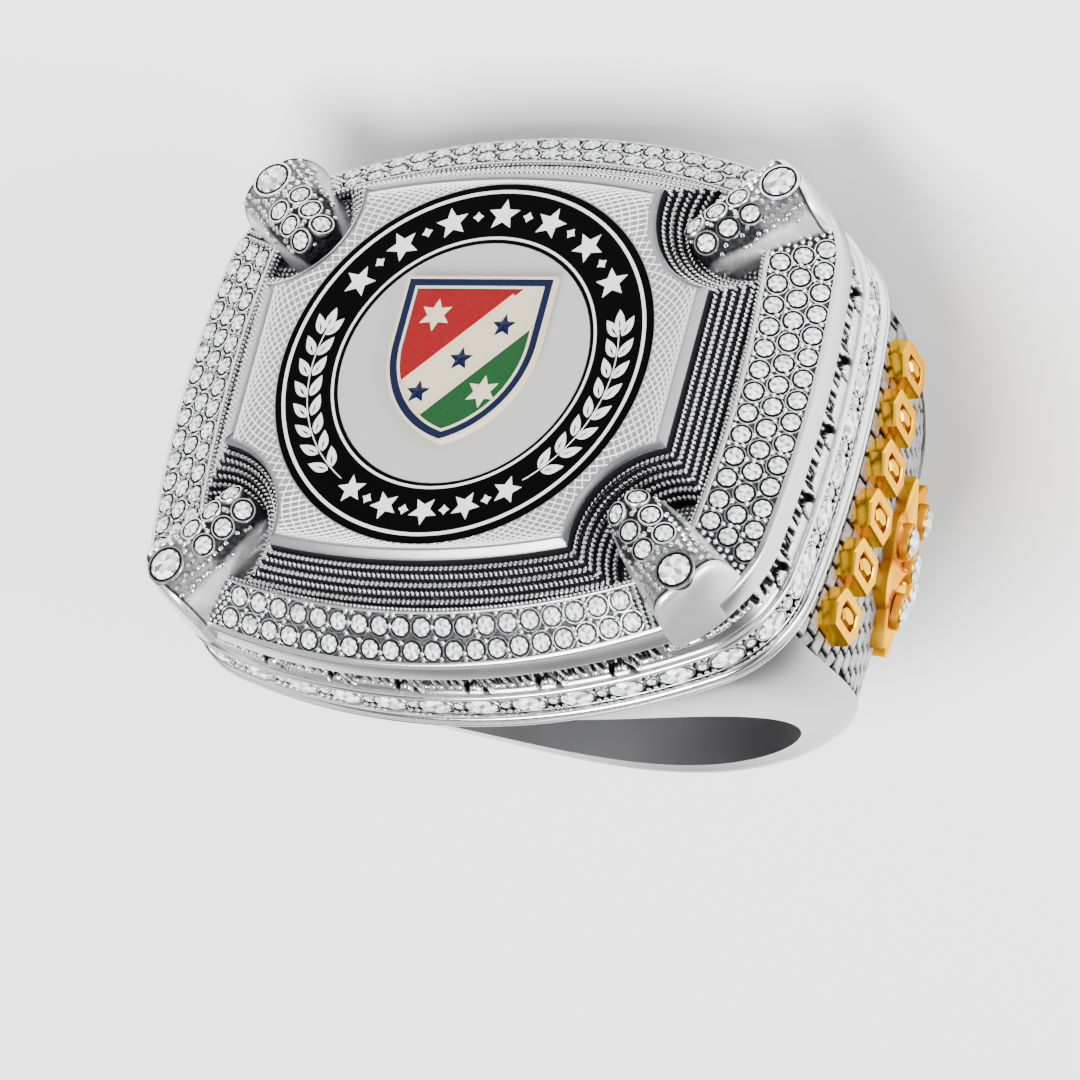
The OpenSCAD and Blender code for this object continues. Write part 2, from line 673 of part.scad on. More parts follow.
// The star: eight points, bent to the round of the panel, with a seat for each stone
STAR_STONES = 4;
STAR_VALLEY = 0.74;
module star_stone_places() {
    star_turn = turn_at_drop(star_drop);
    lift = side_arc_r - panel_top_inset + star_h;
    translate([-side_arc_x, 0, head_base_z]) {
        rotate([0, 90 + star_turn, 0]) translate([0, 0, lift]) children();
        for (i = [0:STAR_STONES - 1]) {
            along = star_stone_ring_r * cos(360 * i / STAR_STONES);
            across = star_stone_ring_r * sin(360 * i / STAR_STONES);
            rotate([0, 90 + star_turn + asin(along / side_arc_r), 0]) translate([0, across, lift]) children();
        }
    }
}
module gold_star() {
    star_turn = turn_at_drop(star_drop);
    inner = side_arc_r - panel_top_inset + gap;
    points = [for (i = [0:15]) (i % 2 == 0 ? 1 : STAR_VALLEY) * star_r * [cos(22.5 * i), sin(22.5 * i)]];
    color("goldenrod")
        difference() {
            intersection() {
                translate([-side_arc_x, 0, head_base_z]) rotate([90, 0, 0])
                    difference() {
                        cylinder(h = 3 * star_r, r = inner + star_h - gap, center = true);
                        cylinder(h = 4 * star_r, r = inner, center = true);
                    }
                translate([-side_arc_x, 0, head_base_z]) rotate([0, 90 + star_turn, 0])
                    translate([0, 0, side_arc_r / 2]) linear_extrude(side_arc_r) polygon(points);
            }
            star_stone_places() seat(star_stone_d);
        }
}
module star_stones() {
    color("lightcyan") star_stone_places() cut_stone(star_stone_d, star_stone_d);
}

// Rows of stones in the frame, as shares of its width, each row reaching nearly to the claws
SIDE_ROWS = [0.22, 0.5, 0.78];
END_ROWS = [0.29, 0.71];
row_spread = 0.6;
function row_of_stones(claw_place, width, u, pitch) =
    let (half = claw_place - sqrt(2) * claw_half_w + row_spread * width * u)
    row(count_between(half, 0, small_d, pitch), pitch);
module frame_stones_sides() {
    color("lightcyan")
        for (u = SIDE_ROWS) translate([0, 0, frame_z(u)])
            for (y = row_of_stones(claw_y, frame_side_w, u, side_pitch))
                along_sides(y, (1 - u) * frame_side_w)
                rotate([frame_slope_x - 90, 0, 0]) cut_stone(small_d, small_d);
}
module frame_stones_ends() {
    color("lightcyan")
        for (u = END_ROWS) translate([0, 0, frame_z(u)])
            for (x = row_of_stones(claw_x, frame_end_w, u, end_pitch))
                along_ends(x, (1 - u) * frame_end_w)
                rotate([90 - frame_slope_y, 0, 0]) cut_stone(small_d, small_d);
}
ovals_to_corner = 4.6;
oval_inset = channel_depth - STONE_POINT * oval_h - gap;
module channel_stones() {
    z = (foot_rail_top + channel_top) / 2;
    n_end = count_between(head_half_x, ovals_to_corner, oval_l, oval_pitch);
    n_side = count_between(head_half_y, ovals_to_corner, oval_l, oval_pitch);
    color("lightcyan") translate([0, 0, z]) {
        for (x = row(n_end, oval_pitch)) along_ends(x, oval_inset) cut_stone(oval_l, oval_h);
        for (y = row(n_side, oval_pitch)) along_sides(y, oval_inset) cut_stone(oval_l, oval_h);
    }
}
module claw_stones() {
    color("lightcyan") for (s = CORNERS) on_claw(s) claw_small_places() cut_stone(small_d, small_d);
}
module claw_stone(i) {
    color("lightcyan") on_claw(CORNERS[i]) on_claw_top(0, 0) cut_stone(large_d, large_d);
}

// Lying on its side: the head's lowest rail and the foot's rounded edge touch the plane
saddle_x = sqrt(max(0, finger_r^2 - head_base_z^2));
rail_y = sqrt((head_bulge_y + foot_rail_proud)^2 - saddle_x^2) + head_half_y - head_bulge_y;
rest_y = rail_y - foot_half_y + foot_edge_r;
rest_z = head_base_z + finger_r + foot_t - foot_edge_r;
lean = acos(foot_edge_r / norm([rest_y, rest_z])) - atan2(rest_z, rest_y);
rest_drop = rail_y * cos(lean) - head_base_z * sin(lean);
front_reach = plate_half_y * sin(lean) + face_z * cos(lean);
back_reach = (foot_half_y - foot_edge_r) * sin(lean) + (rest_z - head_base_z) * cos(lean) + foot_edge_r;
module laid() {
    translate([0, (front_reach - back_reach) / 2, rest_drop]) rotate([lean - 90, 0, 180]) children();
}
module right_side() {
    laid() children();
}
module left_side() {
    laid() mirror([1, 0, 0]) children();
}

laid() shank();
laid() gallery();
laid() stone_frame();
laid() face_plate();
laid() enamel_ring();
laid() centre_disc();
laid() crest_border();
laid() crest_red();
laid() crest_green();
laid() crest_band();
right_side() side_panel();  // side_panel_right
left_side() side_panel();  // side_panel_left
right_side() gold_row();  // gold_row_right
left_side() gold_row();  // gold_row_left
right_side() gold_star();  // gold_star_right
left_side() gold_star();  // gold_star_left
right_side() star_stones();  // star_stones_right
left_side() star_stones();  // star_stones_left
laid() frame_stones_sides();
laid() frame_stones_ends();
laid() channel_stones();
laid() claw_stones();
laid() claw_stone(0);  // claw_stone_1
laid() claw_stone(1);  // claw_stone_2
laid() claw_stone(2);  // claw_stone_3
laid() claw_stone(3);  // claw_stone_4
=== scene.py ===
"""The looks of a class ring, made around its solids. Shapes are worked out in millimetres with the ring
upright: the finger along Y, the face up, Z measured from the middle of the finger hole. They are then laid
on the ring's side, in metres, where the finger hole's mount says."""
import json
import math
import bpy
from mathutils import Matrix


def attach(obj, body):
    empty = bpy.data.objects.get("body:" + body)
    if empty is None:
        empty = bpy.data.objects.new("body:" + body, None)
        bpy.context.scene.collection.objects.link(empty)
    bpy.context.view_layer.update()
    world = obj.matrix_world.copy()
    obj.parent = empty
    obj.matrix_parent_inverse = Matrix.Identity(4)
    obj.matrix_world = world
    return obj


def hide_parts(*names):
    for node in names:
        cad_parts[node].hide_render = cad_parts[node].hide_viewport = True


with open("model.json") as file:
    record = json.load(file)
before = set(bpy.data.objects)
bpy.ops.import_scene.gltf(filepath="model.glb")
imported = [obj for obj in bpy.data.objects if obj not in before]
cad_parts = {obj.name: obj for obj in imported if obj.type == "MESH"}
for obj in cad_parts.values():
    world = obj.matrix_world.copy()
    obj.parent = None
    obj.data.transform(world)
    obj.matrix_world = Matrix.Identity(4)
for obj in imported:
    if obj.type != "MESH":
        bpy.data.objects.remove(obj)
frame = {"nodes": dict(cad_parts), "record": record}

from types import SimpleNamespace

import bmesh
import bpy
import numpy as np
from bpy.props import FloatProperty, FloatVectorProperty, PointerProperty
from mathutils import Matrix, Vector

bl_info = {
    "name": "Class ring",
    "version": (1, 0, 0),
    "blender": (4, 5, 0),
    "location": "3D View > Sidebar > Ring",
    "description": "Builds the band, head, stones, enamel and gold relief of a class ring",
    "category": "Add Mesh",
}

MM = 0.001
TAU = 2 * math.pi
HOLE = next(m for m in frame["record"]["mounts"] if m["name"] == "finger_hole")
HOLE_R = HOLE["dims"]["r_mm"]
LEAN_SIN, LEAN_COS = HOLE["axis"][1], HOLE["axis"][2]
LAID = np.array([[-1, 0, 0], [0, -LEAN_SIN, -LEAN_COS], [0, -LEAN_COS, LEAN_SIN]])
ROOT = "root"


def laid(points):
    """Upright millimetres to the frame's metres: a turn by the lean of the finger hole, then its place."""
    return points @ LAID.T * MM + np.array(HOLE["pos_m"])


# Sizes and colours

def title(text):
    """A property's name: its description up to the first comma."""
    return text.split(",")[0]


def length(text, mm):
    """A length property, given in millimetres and held in metres."""
    return FloatProperty(
        name=title(text), description=text, default=mm * MM, min=0, precision=5, unit="LENGTH")


def share(text, value):
    """A plain number property from 0 to 1."""
    return FloatProperty(name=title(text), description=text, default=value, min=0, max=1, subtype="FACTOR")


def colour(text, *rgb):
    """A colour property."""
    return FloatVectorProperty(
        name=title(text), description=text, default=rgb, size=3, min=0, max=1, subtype="COLOR")


class RingSizes(bpy.types.PropertyGroup):
    head_x: length("Head half width, along the hand", 16.4)
    head_y: length("Head half depth, along the finger", 13.95)
    bulge_x: length("Short side bulge, as a radius", 56)
    bulge_y: length("Long side bulge, as a radius", 34)
    corner: length("Corner radius, of the head", 5.6)
    base_z: length("Head underside, its height above the finger axis", 9.3)
    face_z: length("Face height, of the name plate's top above the finger axis", 18.3)
    rail_h: length("Lowest rail, its height", 0.7)
    channel_h: length("Channel, height of the one for oval stones", 1.55)
    channel_in: length("Channel depth, of the one for oval stones", 0.75)
    thin_rail_h: length("Thin rail, height of the one above the channel", 0.3)
    gallery_h: length("Gallery, height of the pierced wall", 1.65)
    gallery_in: length("Gallery inset, behind the rails", 0.3)
    window_pitch: length("Window spacing, of the gallery's pockets", 3.6)
    open_x: length("Opening half width, of the stone frame along the hand", 13.1)
    open_y: length("Opening half depth, of the stone frame along the finger", 11.8)
    open_corner: length("Opening corner, as a radius", 3.3)
    frame_in_drop: length("Frame inner drop, of its inner edge below the face", 2.1)
    frame_out_drop: length("Frame outer drop, of its outer edge below the face", 3.6)
    moat_drop: length("Moat depth, of its floor below the face", 2.9)
    plate_x: length("Plate half width, along the hand", 11.35)
    plate_y: length("Plate half depth, along the finger", 10.15)
    plate_bulge: length("Plate bulge, as the radius of its long sides", 38)
    scoop: length("Scoop radius, of the plate's scooped corners", 4.5)
    scoop_x: length("Scoop place along, of its centre along the hand", 12.1)
    scoop_y: length("Scoop place across, of its centre along the finger", 8.6)
    enamel: length("Enamel radius, of the black ring's outer edge", 9.4)
    claw_x: length("Claw place along, of its large stone along the hand", 13.1)
    claw_y: length("Claw place across, of its large stone along the finger", 10.15)
    claw_in: length("Claw reach, inwards from its large stone", 5.1)
    claw_w: length("Claw half width, at the head's corner", 2.15)
    claw_drop: length("Claw drop, of its highest point below the face", 0.3)
    small_stone: length("Small stone, its diameter", 0.82)
    large_stone: length("Large stone, diameter of a claw's", 1.5)
    star_stone: length("Emblem stone, its diameter", 1.4)
    side_pitch: length("Side stone spacing, along the frame's sides", 1.13)
    end_pitch: length("End stone spacing, along the frame's ends", 1.09)
    claw_pitch: length("Claw stone spacing, of the small ones", 1.2)
    oval_l: length("Oval length, of the channel's stones", 1.6)
    oval_h: length("Oval height, of the channel's stones", 1.1)
    oval_pitch: length("Oval spacing, of the channel's stones", 2.4)
    band_x: length("Band half width, of its outline at the head along the hand", 16.3)
    band_y: length("Band half depth, at the head along the finger", 13.7)
    foot_y: length("Foot half depth, of the band at the bottom", 5.15)
    foot_t: length("Foot thickness, of the band at the bottom", 1.3)
    foot_bend: length("Foot bend, as the outline's radius at the bottom", 12.9)
    foot_edge: length("Foot edge, rounding of the band's edges at the bottom", 0.65)
    shoulder_y: length("Shoulder edge, its rounding at the head along the finger", 2.75)
    shoulder_in: length("Shoulder edge depth, its rounding at the head into the metal", 3.9)
    panel_wrap: share("Panel wrap, how far a panel goes over the rounded edges", 0.5)
    panel_share: share("Panel length, as a share of the band's drop", 0.76)
    panel_recess: length("Panel recess, its depth in the band", 1.45)
    panel_t: length("Panel thickness, without its bricks", 0.9)
    brick_l: length("Brick length, along the finger", 1.15)
    brick_w: length("Brick width, down the panel", 0.95)
    block_l: length("Gold figure length, down the panel", 3.05)
    block_w: length("Gold figure width, along the finger", 2.0)
    block_h: length("Gold figure height, over the panel", 0.9)
    block_pitch: length("Gold figure spacing, along the finger", 2.6)
    block_drop: length("Gold figure drop, below the head", 2.75)
    emblem_r: length("Emblem radius, of the gold star", 4.3)
    emblem_h: length("Emblem height, over the panel", 0.9)
    emblem_drop: length("Emblem drop, of its centre below the head", 9.6)
    emblem_ring: length("Emblem stone ring, as a radius", 2.35)


class RingColours(bpy.types.PropertyGroup):
    silver: colour("Silver, polished metal of the head", 0.84, 0.84, 0.85)
    # Satin: the head's silver made darker, painted shade on the stone frame; its satin finish lies in the
    # roughness
    satin: colour("Satin silver, softer metal of the stone frame", 0.64, 0.64, 0.65)
    # Band silver: the head's silver made darker, painted shade on the band and on the finger hole's ceiling
    band: colour("Band silver, metal of the band", 0.47, 0.47, 0.48)
    engraved: colour("Engraved silver, ground of the name plate", 0.31, 0.31, 0.32)
    bright_cut: colour("Bright cut, of engraved lines and leaves", 0.82, 0.82, 0.82)
    # Blackened silver: near black for patina in the recesses and for painted shade in recesses, gaps and
    # under parts
    blackened: colour("Blackened silver, in the hollows", 0.018, 0.018, 0.020)
    gold: colour("Gold, polished, of the side relief", 1.0, 0.54, 0.014)
    gold_edge: colour("Gold edge, tint of the gold at a low angle", 1.0, 0.58, 0.08)
    # Old gold: darker gold for patina and painted shade in the recesses of the gold relief
    old_gold: colour("Old gold, in the hollows", 0.42, 0.17, 0.008)
    # Crystal and crystal shade: the painted highlight and the painted shade of the stones' facets, mixed per
    # facet
    crystal: colour("Crystal, bright facets of the stones", 0.96, 0.97, 0.98)
    crystal_dark: colour("Crystal shade, dark facets of the stones", 0.02, 0.02, 0.025)
    black: colour("Black enamel, the ring round the disc", 0.0006, 0.0006, 0.0006)
    white: colour("White enamel, the disc in the middle", 0.42, 0.42, 0.42)
    red: colour("Red enamel, one field of the crest", 0.20, 0.002, 0.004)
    green: colour("Green enamel, the other field of the crest", 0.003, 0.055, 0.012)
    cream: colour("Cream enamel, the crest's band and outlines", 0.60, 0.54, 0.38)
    navy: colour("Navy enamel, the crest's border and stars", 0.002, 0.005, 0.030)
    floor: colour("Floor, plain and pale", 0.97, 0.97, 0.97)


SHARES = ("panel_wrap", "panel_share")
PANEL_GAP = 0.05


def sizes():
    """All lengths in millimetres, with the heights of the tiers and the band's arcs that follow from them."""
    group = bpy.context.scene.ring_sizes
    s = SimpleNamespace(**{
        key: getattr(group, key) / (1 if key in SHARES else MM) for key in RingSizes.__annotations__})
    s.rail_top = s.base_z + s.rail_h
    s.channel_top = s.rail_top + s.channel_h
    s.thin_top = s.channel_top + s.thin_rail_h
    s.gallery_top = s.thin_top + s.gallery_h
    s.frame_in_z = s.face_z - s.frame_in_drop
    s.frame_out_z = s.face_z - s.frame_out_drop
    s.moat_z = s.face_z - s.moat_drop
    s.drop = s.base_z + HOLE_R + s.foot_t
    s.bend_rise = s.drop - s.foot_bend
    s.arc_r = (s.band_x**2 + s.bend_rise**2 - s.foot_bend**2) / (2 * (s.band_x - s.foot_bend))
    s.arc_x = s.arc_r - s.band_x
    s.bend_turn = math.atan2(s.bend_rise, s.arc_x)
    s.panel_end = math.asin(s.panel_share * s.drop / s.arc_r)
    s.panel_top = s.panel_recess - s.panel_t - PANEL_GAP
    return s


# Shapes: a shape is its points, its faces by number of corners, its patina and painted shade per point and
# its painted facet light per face

def shape(points, *faces, hollow=0.0, tone=1.0):
    """Points (n, 3), face arrays of 3, 4 or more corners, patina and painted shade per point, painted facet
    light per face, both 0 to 1.
    """
    return SimpleNamespace(
        points=np.asarray(points, float), faces=faces, hollow=np.broadcast_to(hollow, len(points)),
        tone=np.broadcast_to(tone, sum(len(f) for f in faces)))


def joined(shapes):
    """Several shapes as one, their faces renumbered."""
    starts = np.cumsum([0] + [len(one.points) for one in shapes])
    points, hollow, tone = (
        np.concatenate([getattr(one, key) for one in shapes]) for key in ("points", "hollow", "tone"))
    return shape(points, *[f + start for one, start in zip(shapes, starts) for f in one.faces],
                 hollow=hollow, tone=tone)


def placed(one, spots, axes):
    """Copies of a shape: each point is spot + (x, y, z of the shape along that copy's three axes)."""
    count, n = len(spots), len(one.points)
    points = spots[:, None] + np.einsum("nj,kji->kni", one.points, axes)
    starts = (np.arange(count) * n)[:, None, None]
    painted_facet_lights = np.split(one.tone, np.cumsum([len(f) for f in one.faces])[:-1])
    return shape(
        points.reshape(-1, 3), *[(f + starts).reshape(-1, f.shape[1]) for f in one.faces],
        hollow=np.tile(one.hollow, count), tone=np.concatenate([np.tile(t, count) for t in painted_facet_lights]))


def grid(points, dark=0.0, ring=True):
    """Quads through a (rows, cols, 3) array of points. The columns close, and so do the rows of a ring. Dark
    is the patina and painted shade of all, of each row or of each point."""
    rows, cols = points.shape[:2]
    i, j = np.meshgrid(np.arange(rows if ring else rows - 1), np.arange(cols), indexing="ij")
    i2, j2 = (i + 1) % rows, (j + 1) % cols
    quads = np.stack([i * cols + j, i2 * cols + j, i2 * cols + j2, i * cols + j2], -1).reshape(-1, 4)
    dark = np.asarray(dark, float)
    hollow = np.broadcast_to(dark[:, None] if dark.ndim == 1 else dark, (rows, cols))
    return shape(points.reshape(-1, 3), quads, hollow=hollow.ravel())


def capped(points, dark=0.0):
    """A solid through (rows, cols, 3) points whose columns close, with a flat face on its two end rows."""
    rows, cols = points.shape[:2]
    sides = grid(points, dark, ring=False)
    ends = np.array([np.arange(cols)[::-1], (rows - 1) * cols + np.arange(cols)])
    return shape(sides.points, *sides.faces, ends, hollow=sides.hollow)


def lifted(flat, z):
    """(n, 2) points at height z, which may be an array."""
    return np.concatenate([flat, np.broadcast_to(np.reshape(z, (-1, 1)), (len(flat), 1))], 1)


def stacked(rows):
    """Rings of points and their darkness, from rows of (n, 2) outline, height and dark."""
    return np.stack([lifted(line, z) for line, z, _ in rows]), np.array([dark for *_, dark in rows], float)


def fan(tip, ring):
    """Triangles from one point to each side of a ring, all given by number."""
    return np.stack([np.full(len(ring), tip), ring, np.roll(ring, -1)], 1)


def belt(a, b):
    """Quads between two rings of points, given by number."""
    return np.stack([a, b, np.roll(b, -1), np.roll(a, -1)], 1)


def steps(*stops):
    """Numbers that run through (value, count) stops: count even steps from each value to the next one."""
    runs = [np.linspace(a, b, n, endpoint=False) for (a, n), (b, _) in zip(stops[:-1], stops[1:])]
    return np.concatenate(runs + [[stops[-1][0]]])


def unit(v):
    return v / np.linalg.norm(v, axis=-1, keepdims=True)


def polar(angle, r=1.0):
    """Flat points at angles and at distances from the middle."""
    return np.stack([r * np.cos(angle), r * np.sin(angle)], -1)


def circle(n):
    return polar(TAU * np.arange(n) / n)


def left_of(v):
    """Flat directions a quarter turn to the left of others."""
    return v[:, ::-1] * [-1, 1]


def axes_for(normal, along):
    """Three axes for each copy: x along the given direction, z along the normal, y across both."""
    z = unit(normal)
    x = unit(along - np.sum(along * z, -1, keepdims=True) * z)
    return np.stack([x, np.cross(z, x), z], 1)


def flat_axes(ahead):
    """Axes for copies that lie flat, each with x along its own flat direction."""
    return axes_for(np.tile([0.0, 0, 1], (len(ahead), 1)), lifted(ahead, 0))


def run_along(line):
    """Distance covered at each point of a line."""
    return np.concatenate([[0], np.cumsum(np.linalg.norm(np.diff(line, axis=0), axis=1))])


# Outlines

LINE, COARSE, FINE, PLATE_LINE = (90, 60, 80), (30, 20, 30), (220, 120, 260), (40, 60, 70)


def crossing(a, ra, b, rb):
    """Where a circle about a crosses one about b, on the left of the way from a to b."""
    span = math.hypot(*(b - a))
    along = (ra**2 - rb**2 + span**2) / (2 * span)
    u = (b - a) / span
    return a + along * u + math.sqrt(ra**2 - along**2) * np.array([-u[1], u[0]])


def four_quarters(quarter):
    """A closed loop from one quarter that starts on X and ends on Y."""
    first, second = quarter[:-1], quarter[:0:-1] * [-1, 1]
    return np.concatenate([first, second, -first, -second])


def cushion(hx, hy, bx, by, rc, k, counts):
    """A cushion outline moved in by k: side arcs, corner arcs and end arcs that touch, as (n, 2) points and
    outward normals. The corner's centre is where circles of radius bx - rc and by - rc cross."""
    side, end = np.array([hx - bx, 0.0]), np.array([0.0, hy - by])
    centre = crossing(side, bx - rc, end, by - rc)
    a1 = math.atan2(centre[1], centre[0] - side[0])
    a2 = math.atan2(centre[1] - end[1], centre[0])
    n1, n2, n3 = counts
    where = [n1, n2, n3 + 1]
    normal = polar(steps((0, n1), (a1, n2), (a2, n3), (math.pi / 2, 0)))
    reach = np.repeat([bx - k, rc - k, by - k], where)[:, None]
    points = np.repeat([side, centre, end], where, axis=0) + normal * reach
    return four_quarters(points), four_quarters(normal)


def head_line(s, k, counts=LINE):
    return cushion(s.head_x, s.head_y, s.bulge_x, s.bulge_y, s.corner, k, counts)


def open_line(s, k, counts=LINE):
    """The outline of the stone frame's opening, moved in by k."""
    return cushion(s.open_x, s.open_y, s.bulge_x, s.bulge_y, s.open_corner, k, counts)[0]


def plate_line(s, k):
    """The name plate's outline moved out by k: a straight side, a scooped corner and a bulged end."""
    x, r, big = s.plate_x + k, s.scoop - k, s.plate_bulge + k
    centre, low = np.array([s.scoop_x, s.scoop_y]), np.array([0.0, s.plate_y - s.plate_bulge])
    start = np.array([x, s.scoop_y - math.sqrt(r**2 - (s.scoop_x - x)**2)])
    end = crossing(low, big, centre, r)
    a1, a2 = (math.atan2(*(p - centre)[::-1]) % TAU for p in (start, end))
    n1, n2, n3 = PLATE_LINE
    return four_quarters(np.concatenate([
        np.stack([np.full(n1, x), np.linspace(0, start[1], n1, endpoint=False)], 1),
        centre + polar(np.linspace(a1, a2, n2, endpoint=False), r),
        low + polar(np.linspace(math.atan2(*(end - low)[::-1]), math.pi / 2, n3 + 1), big),
    ]))


# Places on the head

# Rows of the frame's stones: share of the frame's width, and number of stones
SIDE_ROWS = [(0.22, 13), (0.50, 14), (0.78, 15)]
END_ROWS = [(0.29, 19), (0.71, 20)]
OVALS_END, OVALS_SIDE = 10, 8
WINDOWS_END, WINDOWS_SIDE = 6, 5
BEAD_SHARES = np.linspace(0.10, 0.86, 9)
BEAD_PITCH, BEAD_GAP, BEAD_TUCK = 0.31, 0.11, 0.05
CORNERS = np.array([[1, 1], [-1, 1], [-1, -1], [1, -1]])
CLAW_SLOPE = math.radians(8)
CLAW_ROWS, CLAW_FIRST_ROW = 3, 1.6
CLAW_PROUD = 0.08
CLAW_SHOULDER = 0.55
CLAW_TIP = 0.9


def row(count, pitch):
    """Evenly spaced places with their middle at 0."""
    return (np.arange(count) - (count - 1) / 2) * pitch


def edge_places(s, run, k, end):
    """Points at runs along both ends, or both sides, of the head's outline moved in by k, and their outward
    normals."""
    half, bulge = (s.head_y, s.bulge_y) if end else (s.head_x, s.bulge_x)
    n = polar(np.arcsin(run / (bulge - k)))[:, ::-1 if end else 1]
    p = (half - bulge) * np.array([not end, end]) + (bulge - k) * n
    return np.concatenate([p, -p]), np.concatenate([n, -n])


def frame_z(s, u):
    """Height of the stone frame at share u of its width, from the inner to the outer edge."""
    return s.frame_in_z + (s.frame_out_z - s.frame_in_z) * u


def on_frame(s, places, width, u):
    """Spots and axes on the frame's slope for places with outward normals."""
    p, n = places
    slope = math.atan((s.frame_out_drop - s.frame_in_drop) / width)
    up = lifted(n * math.sin(slope), math.cos(slope))
    return lifted(p, frame_z(s, u)), axes_for(up, lifted(left_of(n), 0))


def frame_spots(s):
    """Spots and axes of the frame's round stones, along the sides and along the ends."""
    groups = []
    for rows, pitch, wide, end in (
            (SIDE_ROWS, s.side_pitch, s.head_x - s.open_x, False),
            (END_ROWS, s.end_pitch, s.head_y - s.open_y, True)):
        found = [on_frame(s, edge_places(s, row(n, pitch), (1 - u) * wide, end), wide, u) for u, n in rows]
        groups.append([np.concatenate(part) for part in zip(*found)])
    return groups


def claw_axes(sign):
    """A claw's own directions: outwards along its length, across it to the left, and up."""
    x, y = sign / math.sqrt(2)
    return np.array([[x, y, 0], [-y, x, 0], [0, 0, 1]])


def claw_middle(s, sign):
    return sign * [s.claw_x, s.claw_y]


def on_claw(s, sign, local):
    """Local points (along, across, height) of a claw, put on the corner that the signs name."""
    return np.append(claw_middle(s, sign), 0) + local @ claw_axes(sign)


def claw_end(s, across):
    """How far out from its large stone a claw ends, at places across it: just past the head's outline."""
    flat = lifted(head_line(s, 0)[0][:sum(LINE)] - [s.claw_x, s.claw_y], 0)
    out, side, _ = (flat @ claw_axes(CORNERS[0]).T).T
    return (np.interp(across, side, out) + np.interp(-across, side, out)) / 2 + CLAW_PROUD


def claw_width(s, along):
    """Half width of a claw: it opens quickly behind its tip."""
    places = [-s.claw_in, 0.25 - s.claw_in, 0.8 - s.claw_in, 1.7 - s.claw_in, -1.2, 1.0]
    return s.claw_w * np.interp(along, places, [0.30, 0.56, 0.70, 0.80, 0.94, 1.02])


def claw_height(s, along, across):
    """Height of a claw's top: a ridge that slopes outwards from a rounded tip, with a dome across it,
    (1 - |across / width|^p)^(1 / 2.2) with p from 2.6 to 4, and a plain shoulder, (1 - u^4)^(1 / 4), where
    u runs to 1 at the claw's end."""
    ridge = s.face_z - s.claw_drop - (along + s.claw_in) * math.tan(CLAW_SLOPE)
    low = np.interp(along, [-2.2, -0.6], [s.moat_z - 0.05, s.frame_out_z - 0.1])
    lead = np.clip((along + s.claw_in) / CLAW_TIP, 0, 1)
    power = np.interp(along, [-1.0, 1.0], [2.6, 4])
    dome = np.maximum(0, 1 - np.abs(across / claw_width(s, along))**power)**(1 / 2.2)
    u = np.clip(1 - (claw_end(s, across) - along) / CLAW_SHOULDER, 0, 1)
    return low + (ridge - low) * (0.25 + 0.75 * np.sqrt(1 - (1 - lead)**2)) * dome * (1 - u**4)**0.25


def claw_spots(s, local, lift=0.0):
    """Spots and axes for (along, across) places on the top of all four claws. The top's slopes are measured
    over a small step d."""
    local = np.asarray(local, float)
    a, b, d = local[:, 0], local[:, 1], 0.05
    z = claw_height(s, a, b)
    slope_a = (claw_height(s, a + d, b) - z) / d
    slope_b = (claw_height(s, a, b + d) - claw_height(s, a, b - d)) / (2 * d)
    up = unit(np.stack([-slope_a, -slope_b, np.ones(len(a))], 1))
    top = np.column_stack([local, z]) + up * lift
    spots = [on_claw(s, sign, top) for sign in CORNERS]
    axes = [axes_for(up @ turned, np.tile(turned[1], (len(local), 1))) for turned in map(claw_axes, CORNERS)]
    return np.concatenate(spots), np.concatenate(axes)


def claw_small_places(s):
    """Places of a claw's small stones, in rows of two."""
    rows = -(CLAW_FIRST_ROW + np.arange(CLAW_ROWS)) * s.claw_pitch
    return np.array([(a, side * s.claw_pitch / 2) for a in rows for side in (-1, 1)])


def bead_spots(s):
    """Spots and axes of the beads that fill the frame's tray, clear of its stones and of the claws."""
    inside, outside = open_line(s, 0), head_line(s, 0)[0]
    held = np.concatenate([spots for spots, _ in frame_spots(s)])[None, :, :2]
    kept = []
    for u in BEAD_SHARES:
        flat, _ = spaced(inside + (outside - inside) * u, BEAD_PITCH)
        clear = np.linalg.norm(flat[:, None] - held, axis=-1).min(1) > s.small_stone / 2 + BEAD_GAP
        for sign in CORNERS:
            along, across, _ = (lifted(flat - claw_middle(s, sign), 0) @ claw_axes(sign).T).T
            clear &= (np.abs(across) > claw_width(s, along) - BEAD_TUCK) | (along < -s.claw_in)
        kept.append(lifted(flat[clear], frame_z(s, u)))
    spots = np.concatenate(kept)
    return spots, flat_axes(np.tile([1.0, 0], (len(spots), 1)))


# Stones, collars and beads

